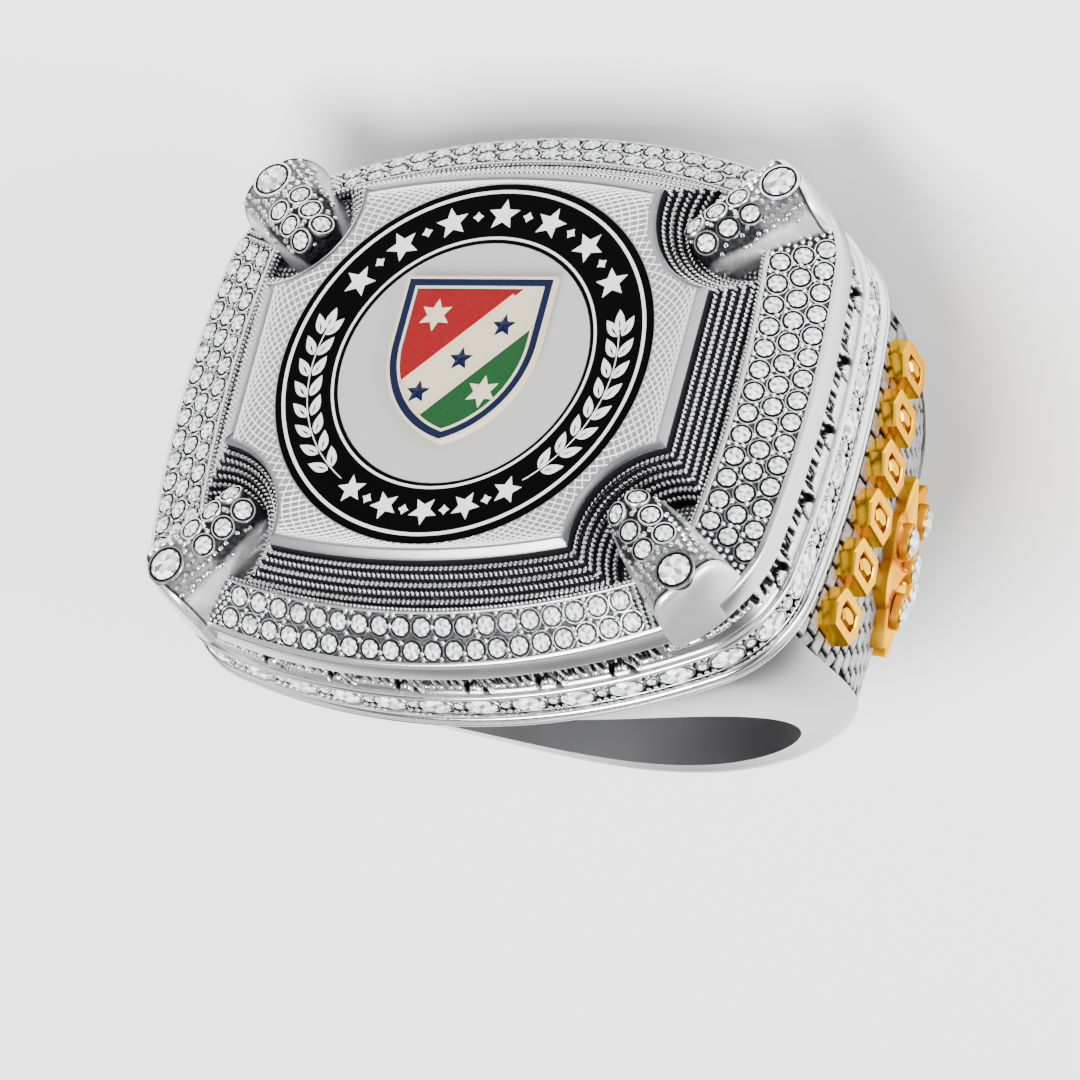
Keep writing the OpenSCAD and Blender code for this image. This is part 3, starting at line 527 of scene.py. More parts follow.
def brilliant(width, depth):
    """A round or oval cut stone: an eight-sided table of eight wedges, eight star, eight kite and sixteen
    girdle facets above the girdle, and sixteen facets below it that meet in a point. Its painted light and
    shade runs round in turn, and the girdle and what is below it are painted dark."""
    a8, a16 = TAU * np.arange(8) / 8, TAU * np.arange(16) / 16
    small = min(width, depth)
    points = np.concatenate([
        lifted(polar(angles, r) * [width, depth], z * small) for angles, r, z in (
            (a8, 0.29, 0.165), (a8 + TAU / 16, 0.405, 0.105), (a16, 0.5, 0.02), (a16, 0.5, -0.02))
    ] + [[[0, 0, -0.43 * small], [0, 0, 0.165 * small]]])
    i, j = np.arange(8), np.arange(16)
    stars = np.stack([i, 8 + i, np.roll(i, -1)], 1)
    kites = np.stack([i, 8 + np.roll(i, 1), 16 + 2 * i, 8 + i], 1)
    left, middle, right = 16 + 2 * i, 17 + 2 * i, 16 + (2 * i + 2) % 16
    upper = [np.stack([8 + i, a, b], 1) for a, b in ((left, middle), (middle, right))]
    tone = np.concatenate([
        np.tile([1.0, 0.22, 0.95, 0.65], 2), np.tile([1.0, 0.30], 4), np.full(8, 1.0), np.full(8, 0.15),
        np.full(16, 0.05), np.tile([1.0, 0.55], 4), np.full(16, 0.0)])
    return shape(points, np.concatenate([fan(49, i), stars, *upper, fan(48, 32 + j)[:, ::-1]]),
                 np.concatenate([kites, belt(16 + j, 32 + j)]), tone=tone)


def stones(spots, axes, width, depth, seed):
    """Cut stones at spots. Each round one is turned at random, and each facet's painted light strays a
    little.
    """
    rng = np.random.default_rng(seed)
    turn = rng.random(len(spots))[:, None] * TAU / 8 * (width == depth)
    x, y, z = axes.transpose(1, 0, 2)
    turned = np.stack([x * np.cos(turn) + y * np.sin(turn), y * np.cos(turn) - x * np.sin(turn), z], 1)
    out = placed(brilliant(width, depth), spots, turned)
    out.tone = np.clip(out.tone * (1.12 - 0.75 * rng.random(len(out.tone))**2), 0, 1)
    return out


def revolved(profile, n, squash=1.0):
    """A closed profile of (radius, height, dark) turned about Z in n steps, its Y scaled by squash."""
    return grid(*stacked([(r * circle(n) * [1, squash], z, dark) for r, z, dark in profile]))


def collar(r, high, squash=1.0, n=20, width=0.05, gap=0.10):
    """The metal round a stone of radius r: a groove darkened with patina and painted shade, its wall, a
    bright rim and an outer flank that is darkened too.
    """
    foot, outer = high - 0.42, r + gap + width
    return revolved([
        (r - 0.06, foot, 1), (r - 0.06, high - 0.07, 1), (r + gap, high - 0.07, 1),
        (r + gap + 0.01, high - 0.015, 1), (r + gap + 0.015, high, 0.2), (outer, high, 0),
        (outer + 0.03, high - 0.07, 0.6), (outer + 0.04, foot, 1)], n, squash)


# Where a bead's foot starts to darken: patina with painted shade under the bead
BEAD_FOOT = 0.35


def bead(r, n=6, squash=1.0):
    """A small round bead of radius r, its foot darkened with patina and painted shade: rings at even steps of
    its half turn, and two poles.
    """
    around = circle(n) * [1, squash]
    turn = np.linspace(0, math.pi, 6)[1:-1]
    body = grid(np.stack([lifted(math.sin(t) * around, math.cos(t)) for t in turn]) * r, ring=False)
    j, top = np.arange(n), len(body.points)
    points = np.concatenate([body.points, [[0, 0, r], [0, 0, -r]]])
    tips = np.concatenate([fan(top, j), fan(top + 1, top - n + j)[:, ::-1]])
    return shape(points, *body.faces, tips, hollow=np.clip(BEAD_FOOT - points[:, 2] / r, 0, 1))


def spaced(line, pitch):
    """Points evenly spaced along a closed (n, 2) line, with their directions."""
    closed = np.concatenate([line, line[:1]])
    run = run_along(closed)
    count = int(run[-1] / pitch)
    at = np.arange(count) * run[-1] / count
    points = np.stack([np.interp(at, run, closed[:, i]) for i in (0, 1)], 1)
    return points, unit(np.roll(points, -1, 0) - np.roll(points, 1, 0))


def bead_row(line, z, r, pitch, squash=1.0, lean=0.0):
    """A row of beads along an outline. Squashed beads that lean across the row look like rope."""
    points, ahead = spaced(line, pitch)
    turned = ahead * math.cos(lean) + left_of(ahead) * math.sin(lean)
    return placed(bead(r, squash=squash), lifted(points, z), flat_axes(turned))


# Materials

# Metals: colour, least and most roughness, scratches, how far noise breaks up the edge of the patina and
# painted shade, and if not plain silver, the colour of the patina and painted shade and the colour at a low
# angle
METALS = {
    "polished silver": ("silver", 0.10, 0.20, 0.03, 0.25),
    "moat silver": ("silver", 0.20, 0.35, 0.03, 0.60),
    "bead silver": ("silver", 0.12, 0.20, 0.03, 0.30),
    "satin silver": ("silver", 0.32, 0.42, 0.03, 0.25),
    "brick silver": ("silver", 0.22, 0.35, 0.03, 0.40),
    # Frame silver and band silver take darker copies of the silver colour: painted shade on the same metal
    "frame silver": ("satin", 0.22, 0.32, 0.01, 0.25),
    "band silver": ("band", 0.24, 0.34, 0.01, 0.25),
    "engraved silver": ("engraved", 0.28, 0.40, 0.06, 0.25),
    "polished gold": ("gold", 0.14, 0.24, 0.05, 0.30, "old_gold", "gold_edge"),
}
# Enamels: colour, ripple, roughness and gloss
ENAMELS = {
    "black enamel": ("black", 0.0, 0.25, 0.02),
    "white enamel": ("white", 0.0, 0.30, 0.12),
    "navy enamel": ("navy", 0.2, 0.18, 0.12),
    "red enamel": ("red", 0.6, 0.25, 0.12),
    "green enamel": ("green", 0.6, 0.25, 0.12),
    "cream enamel": ("cream", 0.1, 0.18, 0.12),
}
HOLLOW_ROUGHNESS = 0.35
FLOAT, VECTOR, COLOUR = "NodeSocketFloat", "NodeSocketVector", "NodeSocketColor"


def put(made, inputs):
    """Sets a node's input sockets, given by name or number."""
    for key, value in inputs.items():
        made.inputs[key].default_value = value


def node(tree, kind, inputs=None, **own):
    """A new node with its own properties and then its input sockets set."""
    made = tree.nodes.new(kind)
    for key, value in own.items():
        setattr(made, key, value)
    put(made, inputs or {})
    return made


def wire(tree, *links):
    """Links between sockets, each given as node, output, node and input."""
    for start, out, end, into in links:
        tree.links.new(start.outputs[out], end.inputs[into])


def new_group(name, inputs, outputs):
    """A shader node group with typed inputs and outputs."""
    group = bpy.data.node_groups.new(name, "ShaderNodeTree")
    for label, kind, value in inputs:
        socket = group.interface.new_socket(label, in_out="INPUT", socket_type=kind)
        if value is not None:
            socket.default_value = value
    for label, kind in outputs:
        group.interface.new_socket(label, in_out="OUTPUT", socket_type=kind)
    return group, group.nodes.new("NodeGroupInput"), group.nodes.new("NodeGroupOutput")


def polish_group(name):
    """Hand polish: cloudy roughness and fine hair scratches, as a roughness and a normal."""
    group, start, end = new_group(
        name, [("Low", FLOAT, 0.1), ("High", FLOAT, 0.2), ("Scratch", FLOAT, 0.02)],
        [("Roughness", FLOAT), ("Normal", VECTOR)])
    place = node(group, "ShaderNodeTexCoord")
    cloud = node(group, "ShaderNodeTexNoise", {"Scale": 420.0, "Detail": 3.0})
    spread = node(group, "ShaderNodeMapRange")
    stretch = node(group, "ShaderNodeMapping", {"Scale": (700, 9000, 2600)})
    hair = node(group, "ShaderNodeTexNoise", {"Scale": 1.0, "Detail": 2.0})
    bump = node(group, "ShaderNodeBump", {"Distance": 0.00002})
    wire(
        group, (place, "Object", cloud, "Vector"), (cloud, "Fac", spread, "Value"),
        (start, "Low", spread, "To Min"), (start, "High", spread, "To Max"),
        (place, "Object", stretch, "Vector"), (stretch, "Vector", hair, "Vector"),
        (hair, "Fac", bump, "Height"), (start, "Scratch", bump, "Strength"),
        (spread, "Result", end, "Roughness"), (bump, "Normal", end, "Normal"))
    return group


def patina_shade_group(name):
    """Patina and painted shade: mixes bright and dark metal by the mask of patina and painted shade, its edge
    broken by noise.
    """
    group, start, end = new_group(
        name, [("Bright", COLOUR, None), ("Dark", COLOUR, None), ("Speckle", FLOAT, 0.25)],
        [("Color", COLOUR), ("Mask", FLOAT)])
    mark = node(group, "ShaderNodeAttribute", attribute_name="hollow")
    place = node(group, "ShaderNodeTexCoord")
    edge_noise = node(group, "ShaderNodeTexNoise", {"Scale": 5200.0, "Detail": 3.0})
    centred = node(group, "ShaderNodeMath", {1: 0.5}, operation="SUBTRACT")
    amount = node(group, "ShaderNodeMath", operation="MULTIPLY")
    total = node(group, "ShaderNodeMath", operation="ADD")
    edge = node(
        group, "ShaderNodeMapRange", {"From Min": 0.12, "From Max": 0.85}, interpolation_type="SMOOTHSTEP")
    mix = node(group, "ShaderNodeMix", data_type="RGBA")
    wire(
        group, (place, "Object", edge_noise, "Vector"), (edge_noise, "Fac", centred, 0), (centred, 0, amount, 0),
        (start, "Speckle", amount, 1), (amount, 0, total, 0), (mark, "Fac", total, 1),
        (total, 0, edge, "Value"), (edge, "Result", mix, "Factor"), (start, "Bright", mix, "A"),
        (start, "Dark", mix, "B"), (mix, "Result", end, "Color"), (edge, "Result", end, "Mask"))
    return group


def ripple_group(name):
    """Fine ripples in an enamel field: a diagonal wave, as a normal and as a mask."""
    group, start, end = new_group(
        name, [("Scale", FLOAT, 4200.0), ("Strength", FLOAT, 0.3)], [("Normal", VECTOR), ("Mask", FLOAT)])
    place = node(group, "ShaderNodeTexCoord")
    wave = node(group, "ShaderNodeTexWave", {"Distortion": 2.0, "Detail": 1.0}, bands_direction="DIAGONAL")
    bump = node(group, "ShaderNodeBump", {"Distance": 0.00004})
    wire(
        group, (place, "Object", wave, "Vector"), (start, "Scale", wave, "Scale"),
        (wave, "Fac", bump, "Height"), (start, "Strength", bump, "Strength"),
        (bump, "Normal", end, "Normal"), (wave, "Fac", end, "Mask"))
    return group


def group_node(tree, name, maker, inputs):
    """A node of a shared group, which is made when it is first asked for."""
    group = bpy.data.node_groups.get(name) or maker(name)
    return node(tree, "ShaderNodeGroup", inputs, node_tree=group)


def rgba(key):
    return (*getattr(bpy.context.scene.ring_colours, key), 1)


def metal(tree, surface, bright, low, high, scratch, speckle, dark="blackened", edge=None):
    """Polished metal that is darker, with patina and painted shade, and rougher in its hollows; edge tints it
    at a low angle.
    """
    colours = group_node(tree, "Darkened hollows", patina_shade_group, {
        "Bright": rgba(bright), "Dark": rgba(dark), "Speckle": speckle})
    polish = group_node(tree, "Hand polish", polish_group, {"Low": low, "High": high, "Scratch": scratch})
    rougher = node(tree, "ShaderNodeMath", {1: HOLLOW_ROUGHNESS}, operation="MULTIPLY_ADD")
    wire(
        tree, (colours, "Color", surface, "Base Color"), (colours, "Mask", rougher, 0),
        (polish, "Roughness", rougher, 2), (rougher, 0, surface, "Roughness"),
        (polish, "Normal", surface, "Normal"))
    put(surface, {"Metallic": 1.0, "Specular Tint": rgba(edge) if edge else (1, 1, 1, 1)})


def crystal(tree, surface):
    """Cut crystal: each facet's painted light runs from painted shade to white, with a painted glow of the
    same light, under a clear gloss."""
    tone = node(tree, "ShaderNodeAttribute", attribute_name="tone")
    mix = node(tree, "ShaderNodeMix", {"A": rgba("crystal_dark"), "B": rgba("crystal")}, data_type="RGBA")
    wire(
        tree, (tone, "Fac", mix, "Factor"), (mix, "Result", surface, "Base Color"),
        (mix, "Result", surface, "Emission Color"))
    # The emission is a painted glow: the stones shine as if lit, though they are no lamp
    put(surface, {"Emission Strength": 0.6, "Roughness": 0.08, "IOR": 1.75})


def enamel(tree, surface, base, ripple, roughness, gloss):
    """Glossy enamel, rippled where the ground beneath it is cut."""
    cut = group_node(tree, "Rippled ground", ripple_group, {"Strength": ripple})
    crest = [min(1, c * (1 + 0.5 * ripple)) for c in rgba(base)]
    mix = node(tree, "ShaderNodeMix", {"A": rgba(base), "B": crest}, data_type="RGBA")
    wire(
        tree, (cut, "Mask", mix, "Factor"), (mix, "Result", surface, "Base Color"),
        (cut, "Normal", surface, "Normal"))
    put(surface, {"Roughness": roughness, "Specular IOR Level": gloss})


def bright_cut(tree, surface):
    """Lines and leaves cut bright: a pale satin metal."""
    polish = group_node(tree, "Hand polish", polish_group, {"Low": 0.35, "High": 0.5})
    wire(tree, (polish, "Roughness", surface, "Roughness"))
    put(surface, {"Base Color": rgba("bright_cut"), "Metallic": 0.25})


def pale_floor(tree, surface):
    """The plain floor."""
    put(surface, {"Base Color": rgba("floor"), "Roughness": 0.7})


MAKERS = {
    **{name: (metal, values) for name, values in METALS.items()},
    **{name: (enamel, values) for name, values in ENAMELS.items()},
    "cut crystal": (crystal, ()), "bright cut": (bright_cut, ()), "pale floor": (pale_floor, ()),
}


def look(name):
    """The material of that name, made when it is first asked for."""
    made = bpy.data.materials.get(name)
    if made is None:
        made = bpy.data.materials.new(name)
        made.use_nodes = True
        maker, values = MAKERS[name]
        maker(made.node_tree, made.node_tree.nodes["Principled BSDF"], *values)
    return made


# Pieces

FLAT = 0


def add_object(name, data):
    """A new object in the scene."""
    made = bpy.data.objects.new(name, data)
    bpy.context.scene.collection.objects.link(made)
    return made


def piece(name, body, look_name, nodes=(), sharp=35):
    """Puts a shape into a mesh with its attributes, turns its faces outwards, and lets it ride. Edges of more
    than sharp degrees stay sharp, and all of them do in a flat one."""
    mesh = bpy.data.meshes.new(name)
    loops = np.concatenate([f.ravel() for f in body.faces]).astype(np.int32)
    corners = np.concatenate([np.full(len(f), f.shape[1]) for f in body.faces])
    mesh.vertices.add(len(body.points))
    mesh.vertices.foreach_set("co", laid(body.points).astype(np.float32).ravel())
    mesh.loops.add(len(loops))
    mesh.loops.foreach_set("vertex_index", loops)
    mesh.polygons.add(len(corners))
    mesh.polygons.foreach_set("loop_start", (np.cumsum(corners) - corners).astype(np.int32))
    mesh.attributes.new("hollow", "FLOAT", "POINT").data.foreach_set("value", body.hollow.astype(np.float32))
    mesh.attributes.new("tone", "FLOAT", "FACE").data.foreach_set("value", body.tone.astype(np.float32))
    mesh.update(calc_edges=True)
    work = bmesh.new()
    work.from_mesh(mesh)
    bmesh.ops.recalc_face_normals(work, faces=work.faces)
    work.to_mesh(mesh)
    work.free()
    mesh.polygons.foreach_set("use_smooth", np.full(len(corners), sharp != FLAT))
    if sharp != FLAT:
        mesh.set_sharp_from_angle(angle=math.radians(sharp))
    mesh.materials.append(look(look_name))
    made = add_object(name, mesh)
    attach(made, ROOT)
    if nodes:
        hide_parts(*nodes)


def dress(node_name, look_name):
    """Gives a solid that keeps its own shape a better material."""
    solid = frame["nodes"][node_name]
    solid.data.materials.clear()
    solid.data.materials.append(look(look_name))


# Band

def rim(s, turn):
    """The band's outline seen along the finger, from 0 at the head to a quarter turn at the bottom: a side
    arc that runs into a bottom arc. Gives points in X and Z."""
    upper = [-s.arc_x, s.base_z] + polar(turn, s.arc_r) * [1, -1]
    lower = [0, s.base_z - s.bend_rise] + polar(turn, s.foot_bend) * [1, -1]
    return np.where((turn < s.bend_turn)[..., None], upper, lower)


def drop_share(s, z):
    """Share of the band's drop at a height, from 0 at the head to 1 at the bottom."""
    return np.clip((s.base_z - z) / s.drop, 0, 1)


def inwards(s, turn):
    """Direction from the rim into the metal, towards a core inside the finger hole."""
    edge = rim(s, turn)
    core = np.stack([
        0.2 * HOLE_R * edge[..., 0] / s.band_x,
        s.base_z - (s.base_z + 0.58 * HOLE_R) * drop_share(s, edge[..., 1])], -1)
    return unit(core - edge)


def band_half(s, x, z):
    """Half width of the band along the finger: it narrows with the drop and follows the head's bulge."""
    t = drop_share(s, z)
    return s.foot_y + (s.band_y - s.foot_y) * (1 - t**1.3)**2 - x**2 / (2 * s.bulge_y) * (1 - t)**2


def surface_point(s, turn, y, e):
    """A point at inset e under the band's gently crowned surface."""
    edge = rim(s, turn)
    crown = y**2 / (2 * s.bulge_x) * (1 - drop_share(s, edge[..., 1]))
    q = edge + inwards(s, turn) * (e + crown)[..., None]
    return np.stack([q[..., 0], y, q[..., 1]], -1)


def edge_sizes(s, turn):
    """Reach of the band's rounded edge along the finger and into the metal."""
    rest = 1 - drop_share(s, rim(s, turn)[..., 1])
    return [s.foot_edge + (at_head - s.foot_edge) * rest for at_head in (s.shoulder_y, s.shoulder_in)]


def edge_point(s, turn, f):
    """A point of the rounded edge, where f runs from 0 at its start to 1 on the band's side."""
    wide, deep = edge_sizes(s, turn)
    e = deep * (1 - np.sqrt(1 - f**2))
    p = rim(s, turn) + inwards(s, turn) * e[..., None]
    return surface_point(s, turn, band_half(s, p[..., 0], p[..., 1]) - wide * (1 - f), e)


def panel_half(s, turn):
    """Half width of a panel along the finger."""
    edge = rim(s, turn)
    return band_half(s, edge[..., 0], edge[..., 1]) - edge_sizes(s, turn)[0] * (1 - s.panel_wrap)


def turn_at(s, drop):
    """The turn at which the band's outline has dropped that far below the head."""
    return np.arcsin(drop / s.arc_r)


def band_shape(s):
    """Sections of the band from the head down to the foot and up again: the outer face, recessed for the
    panel, the rounded edge, the side, and the wall of the finger hole."""
    over = np.linspace(0, 1, 15)
    down = np.concatenate([
        np.linspace(0, s.panel_end, 70), [s.panel_end + 1e-4], np.linspace(s.panel_end, math.pi / 2, 70)[1:]])
    recessed = down <= s.panel_end
    t, a = np.meshgrid(down, over, indexing="ij")
    flat = panel_half(s, t) - edge_sizes(s, t)[0] * s.panel_wrap
    plain = np.where(
        (a < 0.5)[..., None], surface_point(s, t, flat * np.minimum(1, 2 * a), np.zeros_like(a)),
        edge_point(s, t, s.panel_wrap * np.maximum(0, 2 * a - 1)))
    sunk = surface_point(s, t, panel_half(s, t) * a, np.full_like(a, s.panel_recess))
    outer = np.where(recessed[:, None, None], sunk, plain)

    t, f = np.meshgrid(down, steps((s.panel_wrap, 9), (0.92, 7), (1, 0)), indexing="ij")
    edge = edge_point(s, t, f)

    start, into = rim(s, down), inwards(s, down)
    reach = np.sum(start * into, -1)
    depth = -reach - np.sqrt(reach**2 - np.sum(start**2, -1) + HOLE_R**2)
    first = edge_sizes(s, down)[1]
    shares = np.linspace(0, 1, 12)[1:]
    q = start[:, None] + into[:, None] * (first[:, None] + (depth - first)[:, None] * shares)[..., None]
    y = band_half(s, q[..., 0], q[..., 1])
    crown = y**2 / (2 * s.bulge_x) * (1 - drop_share(s, start[:, 1]))[:, None] * (1 - shares)
    q = q + into[:, None] * crown[..., None]
    side = np.stack([q[..., 0], y, q[..., 1]], -1)

    to_middle = np.linspace(1, 0, 9)[1:, None]
    hole = side[:, -1:] * np.where([False, True, False], to_middle, 1)
    half = np.concatenate([outer, edge, side, hole], 1)
    section = np.concatenate([half, half[:, -2:0:-1] * [1, -1, 1]], 1)
    # The recessed panel's floor is darkened: patina with painted shade in the recess
    dark = np.zeros(section.shape[:2])
    dark[recessed, :len(over)] = dark[recessed, 1 - len(over):] = 1
    left = section[::-1][1:] * [-1, 1, 1]
    return capped(np.concatenate([section, left]), np.concatenate([dark, dark[::-1][1:]]))


# Lower head

CEILING_SHEET = 0.25
CEILING_GAP = 0.02
CEILING_RISE = 1.01


def above_hole(points, rise=1.0):
    """Lifts what would reach into the finger hole: z is at least rise * sqrt(r^2 - x^2)."""
    x, y, z = np.moveaxis(points, -1, 0)
    return np.stack([x, y, np.maximum(z, rise * np.sqrt(np.maximum(0, HOLE_R**2 - x**2)))], -1)


def ceiling_shape(s):
    """The head's underside, which is the ceiling of the finger hole, as a sheet."""
    rim_line = head_line(s, 0.4, COARSE)[0]
    low = above_hole(np.stack([lifted(rim_line * k, s.base_z) for k in np.linspace(0.03, 1, 26)]))
    return capped(np.concatenate([low, low[::-1] + [0, 0, CEILING_SHEET]]))


def rails_shape(s):
    """The lowest rail, the channel and the thin rail, as one solid that lies on the ceiling's sheet."""
    z0, z1, z2, z3 = s.base_z, s.rail_top, s.channel_top, s.thin_top
    deep = s.channel_in
    # Dark column: patina with painted shade in the grooves and the channel, and under the gallery
    profile = [  # inset, height, dark
        (0.10, z0, 0), (0.0, z0 + 0.03, 0), (-0.07, z0 + 0.10, 0), (-0.10, z0 + 0.20, 0),
        (-0.08, z0 + 0.29, 0), (0.02, z0 + 0.33, 1), (-0.04, z0 + 0.38, 0.2), (-0.08, z0 + 0.45, 0),
        (-0.07, z0 + 0.54, 0), (0.0, z1 - 0.03, 0), (0.12, z1, 0), (0.26, z1 + 0.01, 0.1),
        (0.30, z1 + 0.07, 0.9), (deep, z1 + 0.10, 0.7), (deep, z2 - 0.10, 0.7), (0.30, z2 - 0.07, 0.8),
        (0.26, z2 - 0.02, 0.1), (0.08, z2, 0), (0.0, z2 + 0.04, 0), (-0.03, z2 + 0.13, 0),
        (0.0, z3 - 0.06, 0), (0.10, z3 - 0.01, 0.2), (0.60, z3, 1),
    ]
    rim_line = head_line(s, 0.4)[0]
    low = [(rim_line * k, z0 + CEILING_GAP, 0) for k in np.linspace(0.03, 1, 9)]
    high = [(rim_line * k, z3, 1) for k in (0.97, 0.5, 0.03)]
    rings, dark = stacked(low + [(head_line(s, k)[0], z, d) for k, z, d in profile] + high)
    rings[:len(low)] = above_hole(rings[:len(low)], CEILING_RISE)
    return capped(rings, dark)


# Relief of the gallery. Ovals of a pocket: run from its middle, share of the height, and both half sizes.
LENS, ARCH, DOME = (-0.50, 0.45, 0.12, 0.38), (0.28, 0.10, 0.62, 0.52), (0.36, 0.02, 0.40, 0.34)
LENS_LEAN = 0.10
# Slits: run from a pocket's middle, lean, and half width
SLITS = [
    (-1.62, 0.20, 0.10), (-1.26, -0.16, 0.06), (-1.06, -0.16, 0.06), (-0.80, 0.22, 0.09), (0.04, 0.16, 0.10),
    (0.42, -0.20, 0.07), (0.62, -0.20, 0.06), (1.02, 0.18, 0.11), (1.40, -0.18, 0.08),
]
POCKET_DEPTH, SLIT_DEPTH, DARK_DEPTH = 0.42, 0.28, 0.16


def oval(along, z, at, at_z, half, half_z, steep):
    """Runs from 0 outside an oval to 1 inside it."""
    return np.clip((1 - ((along - at) / half)**2 - ((z - at_z) / half_z)**2) * steep, 0, 1)


def gallery_depth(along, z):
    """Depth of the gallery's relief at run along from a pocket's middle (of one pitch) and share z of its
    height: a leaning lens and an arch over a dome in the pocket, and slits between the pockets."""
    pocket = np.maximum(
        oval(along - LENS_LEAN * (z - 0.5), z, *LENS, 3),
        oval(along, z, *ARCH, 4) * (1 - oval(along, z, *DOME, 4)))
    slits = np.zeros_like(along)
    high = np.clip((z - 0.28) * 9, 0, 1) * np.clip((0.97 - z) * 12, 0, 1)
    for middle, lean, width in SLITS:
        off = np.abs(along - middle - lean * (z - 0.6)) / width
        slits = np.maximum(slits, np.clip(1.7 - off, 0, 1) * high)
    return POCKET_DEPTH * pocket + SLIT_DEPTH * slits * (1 - pocket)


def gallery_shape(s):
    """The gallery's wall: a fine sheet whose depth follows the pockets and slits, closed behind."""
    line, normal = head_line(s, s.gallery_in - 0.06, FINE)
    x, y = line.T
    on_end = np.abs(normal[:, 1]) > np.abs(normal[:, 0])
    run = np.where(on_end, x * np.sign(y), -y * np.sign(x))
    count = np.where(on_end, WINDOWS_END, WINDOWS_SIDE)
    phase = run / s.window_pitch + (count - 1) / 2
    along = (phase - np.round(phase)) * s.window_pitch
    beyond = np.abs(run) > count * s.window_pitch / 2 + 0.3
    a, z = np.meshgrid(along, np.linspace(0, 1, 26), indexing="ij")
    depth = gallery_depth(a, z)
    depth[beyond] *= np.clip((z[beyond] - 0.5) * 6, 0, 1)
    low, high = s.thin_top + 0.01, s.gallery_top
    flat = line[:, None] - normal[:, None] * depth[..., None]
    face = np.concatenate([flat, (low + (high - low) * z)[..., None]], -1)
    back = np.stack([lifted(line - normal * 0.9, level) for level in (high, low)], 1)
    # Pockets and slits darken with their depth and the back is dark: patina with painted shade
    dark = np.concatenate([np.clip(depth / DARK_DEPTH, 0, 1), np.ones((len(line), 2))], 1)
    return grid(np.concatenate([face, back], 1).transpose(1, 0, 2), dark.T)


# Terraces of the moat: their number, width, first drop below the face, fall of each and the last one's drop
TERRACE_STEPS, TERRACE_PITCH, TERRACE_TOP, TERRACE_FALL, TERRACE_FLOOR = 6, 0.27, 0.82, 0.31, 2.88
FLOOR_ROPES = [1.80, 2.06, 2.32]
ROPE_LEAN = math.radians(50)
ROPE_PITCH, ROPE_SQUASH = 0.25, 0.62


def moat_shape(s):
    """The moat's floor: terraces that follow the plate's outline, then a floor up to the frame's opening."""
    base, top = s.gallery_top - 0.6, s.face_z - TERRACE_TOP + 0.1
    # Dark column: patina with painted shade on the terraces and the moat's floor
    profile = [(-1.2, base, 1), (-1.2, top, 1), (-0.01, top, 0.8)]
    for i in range(TERRACE_STEPS):
        z = s.face_z - TERRACE_TOP - TERRACE_FALL * i
        profile += [(TERRACE_PITCH * i, z, 0.8), (TERRACE_PITCH * (i + 0.94), z - 0.02, 0.9)]
    last = TERRACE_STEPS * TERRACE_PITCH
    profile += [(last, s.face_z - TERRACE_FLOOR, 0.9), (last, base, 1)]
    terraces = grid(*stacked([(plate_line(s, k), z, dark) for k, z, dark in profile]))
    line = open_line(s, -0.3, COARSE)
    return joined([terraces, capped(*stacked([(line, s.moat_z - 1.9, 0.7), (line, s.moat_z, 0.7)]))])


def moat_beads_shape(s):
    """Ropes on the terraces and on the floor, and rows of fine beads inside the frame's lip."""
    rows = []
    for i in range(TERRACE_STEPS):
        line, z = plate_line(s, TERRACE_PITCH * (i + 0.55)), s.face_z - TERRACE_TOP - TERRACE_FALL * i
        rows.append(bead_row(line, z, 0.16, ROPE_PITCH, ROPE_SQUASH, ROPE_LEAN * (-1)**i))
    hem = open_line(s, 0.15, COARSE)
    hem_turn = np.unwrap(np.arctan2(hem[:, 1], hem[:, 0]))
    for i, k in enumerate(FLOOR_ROPES):
        line = plate_line(s, k)
        room = np.interp(np.arctan2(line[:, 1], line[:, 0]) % TAU, hem_turn, np.linalg.norm(hem, axis=1))
        line = line * np.minimum(1, room / np.linalg.norm(line, axis=1))[:, None]
        rows.append(bead_row(line, s.moat_z, 0.15, ROPE_PITCH, ROPE_SQUASH, ROPE_LEAN * (-1)**i))
    return joined(rows + [
        bead_row(open_line(s, 0.10), s.frame_in_z - 0.10, 0.10, 0.22),
        bead_row(open_line(s, 0.17), s.frame_in_z - 0.34, 0.12, 0.20, 0.55, ROPE_LEAN)])


# Stone frame and claws

# The tray's darkness is patina with painted shade between its stones and beads
TRAY_DEPTH, TRAY_DARK, TRAY_END = 0.10, 0.74, 0.90


def frame_ring_shape(s):
    """The stone frame: a profile carried between the opening and the head's outline, with an inner lip, a
    sunk tray for stones, an outer rail and a plain band."""
    slope = [  # share of the width, height over the slope, dark
        (0.0, -0.26, 0.3), (0.0, -0.06, 0), (0.012, -0.01, 0), (0.035, 0.02, 0), (0.055, 0.0, 0),
        (0.062, -0.06, 0.9), *[(u, -TRAY_DEPTH, TRAY_DARK) for u in (0.075, 0.35, 0.65, TRAY_END - 0.01)],
        (TRAY_END, -0.06, 0.8), (TRAY_END + 0.01, 0.0, 0), (0.955, 0.015, 0), (0.978, -0.01, 0),
        (0.992, -0.06, 0), (1.0, -0.16, 0),
    ]
    low, sunk = s.gallery_top + 0.05, s.moat_z - 0.3
    rest = [
        (1.0, s.frame_out_z - 0.5, 0), (1.0, low + 0.12, 0), (0.992, low + 0.03, 0), (0.97, low, 0.2),
        (0.25, low, 1), (0.25, sunk, 1), (0.0, sunk, 1),
    ]
    inside, outside = open_line(s, 0), head_line(s, 0)[0]
    profile = [(u, frame_z(s, u) + h, dark) for u, h, dark in slope] + rest
    return grid(*stacked([(inside + (outside - inside) * u, z, dark) for u, z, dark in profile]))


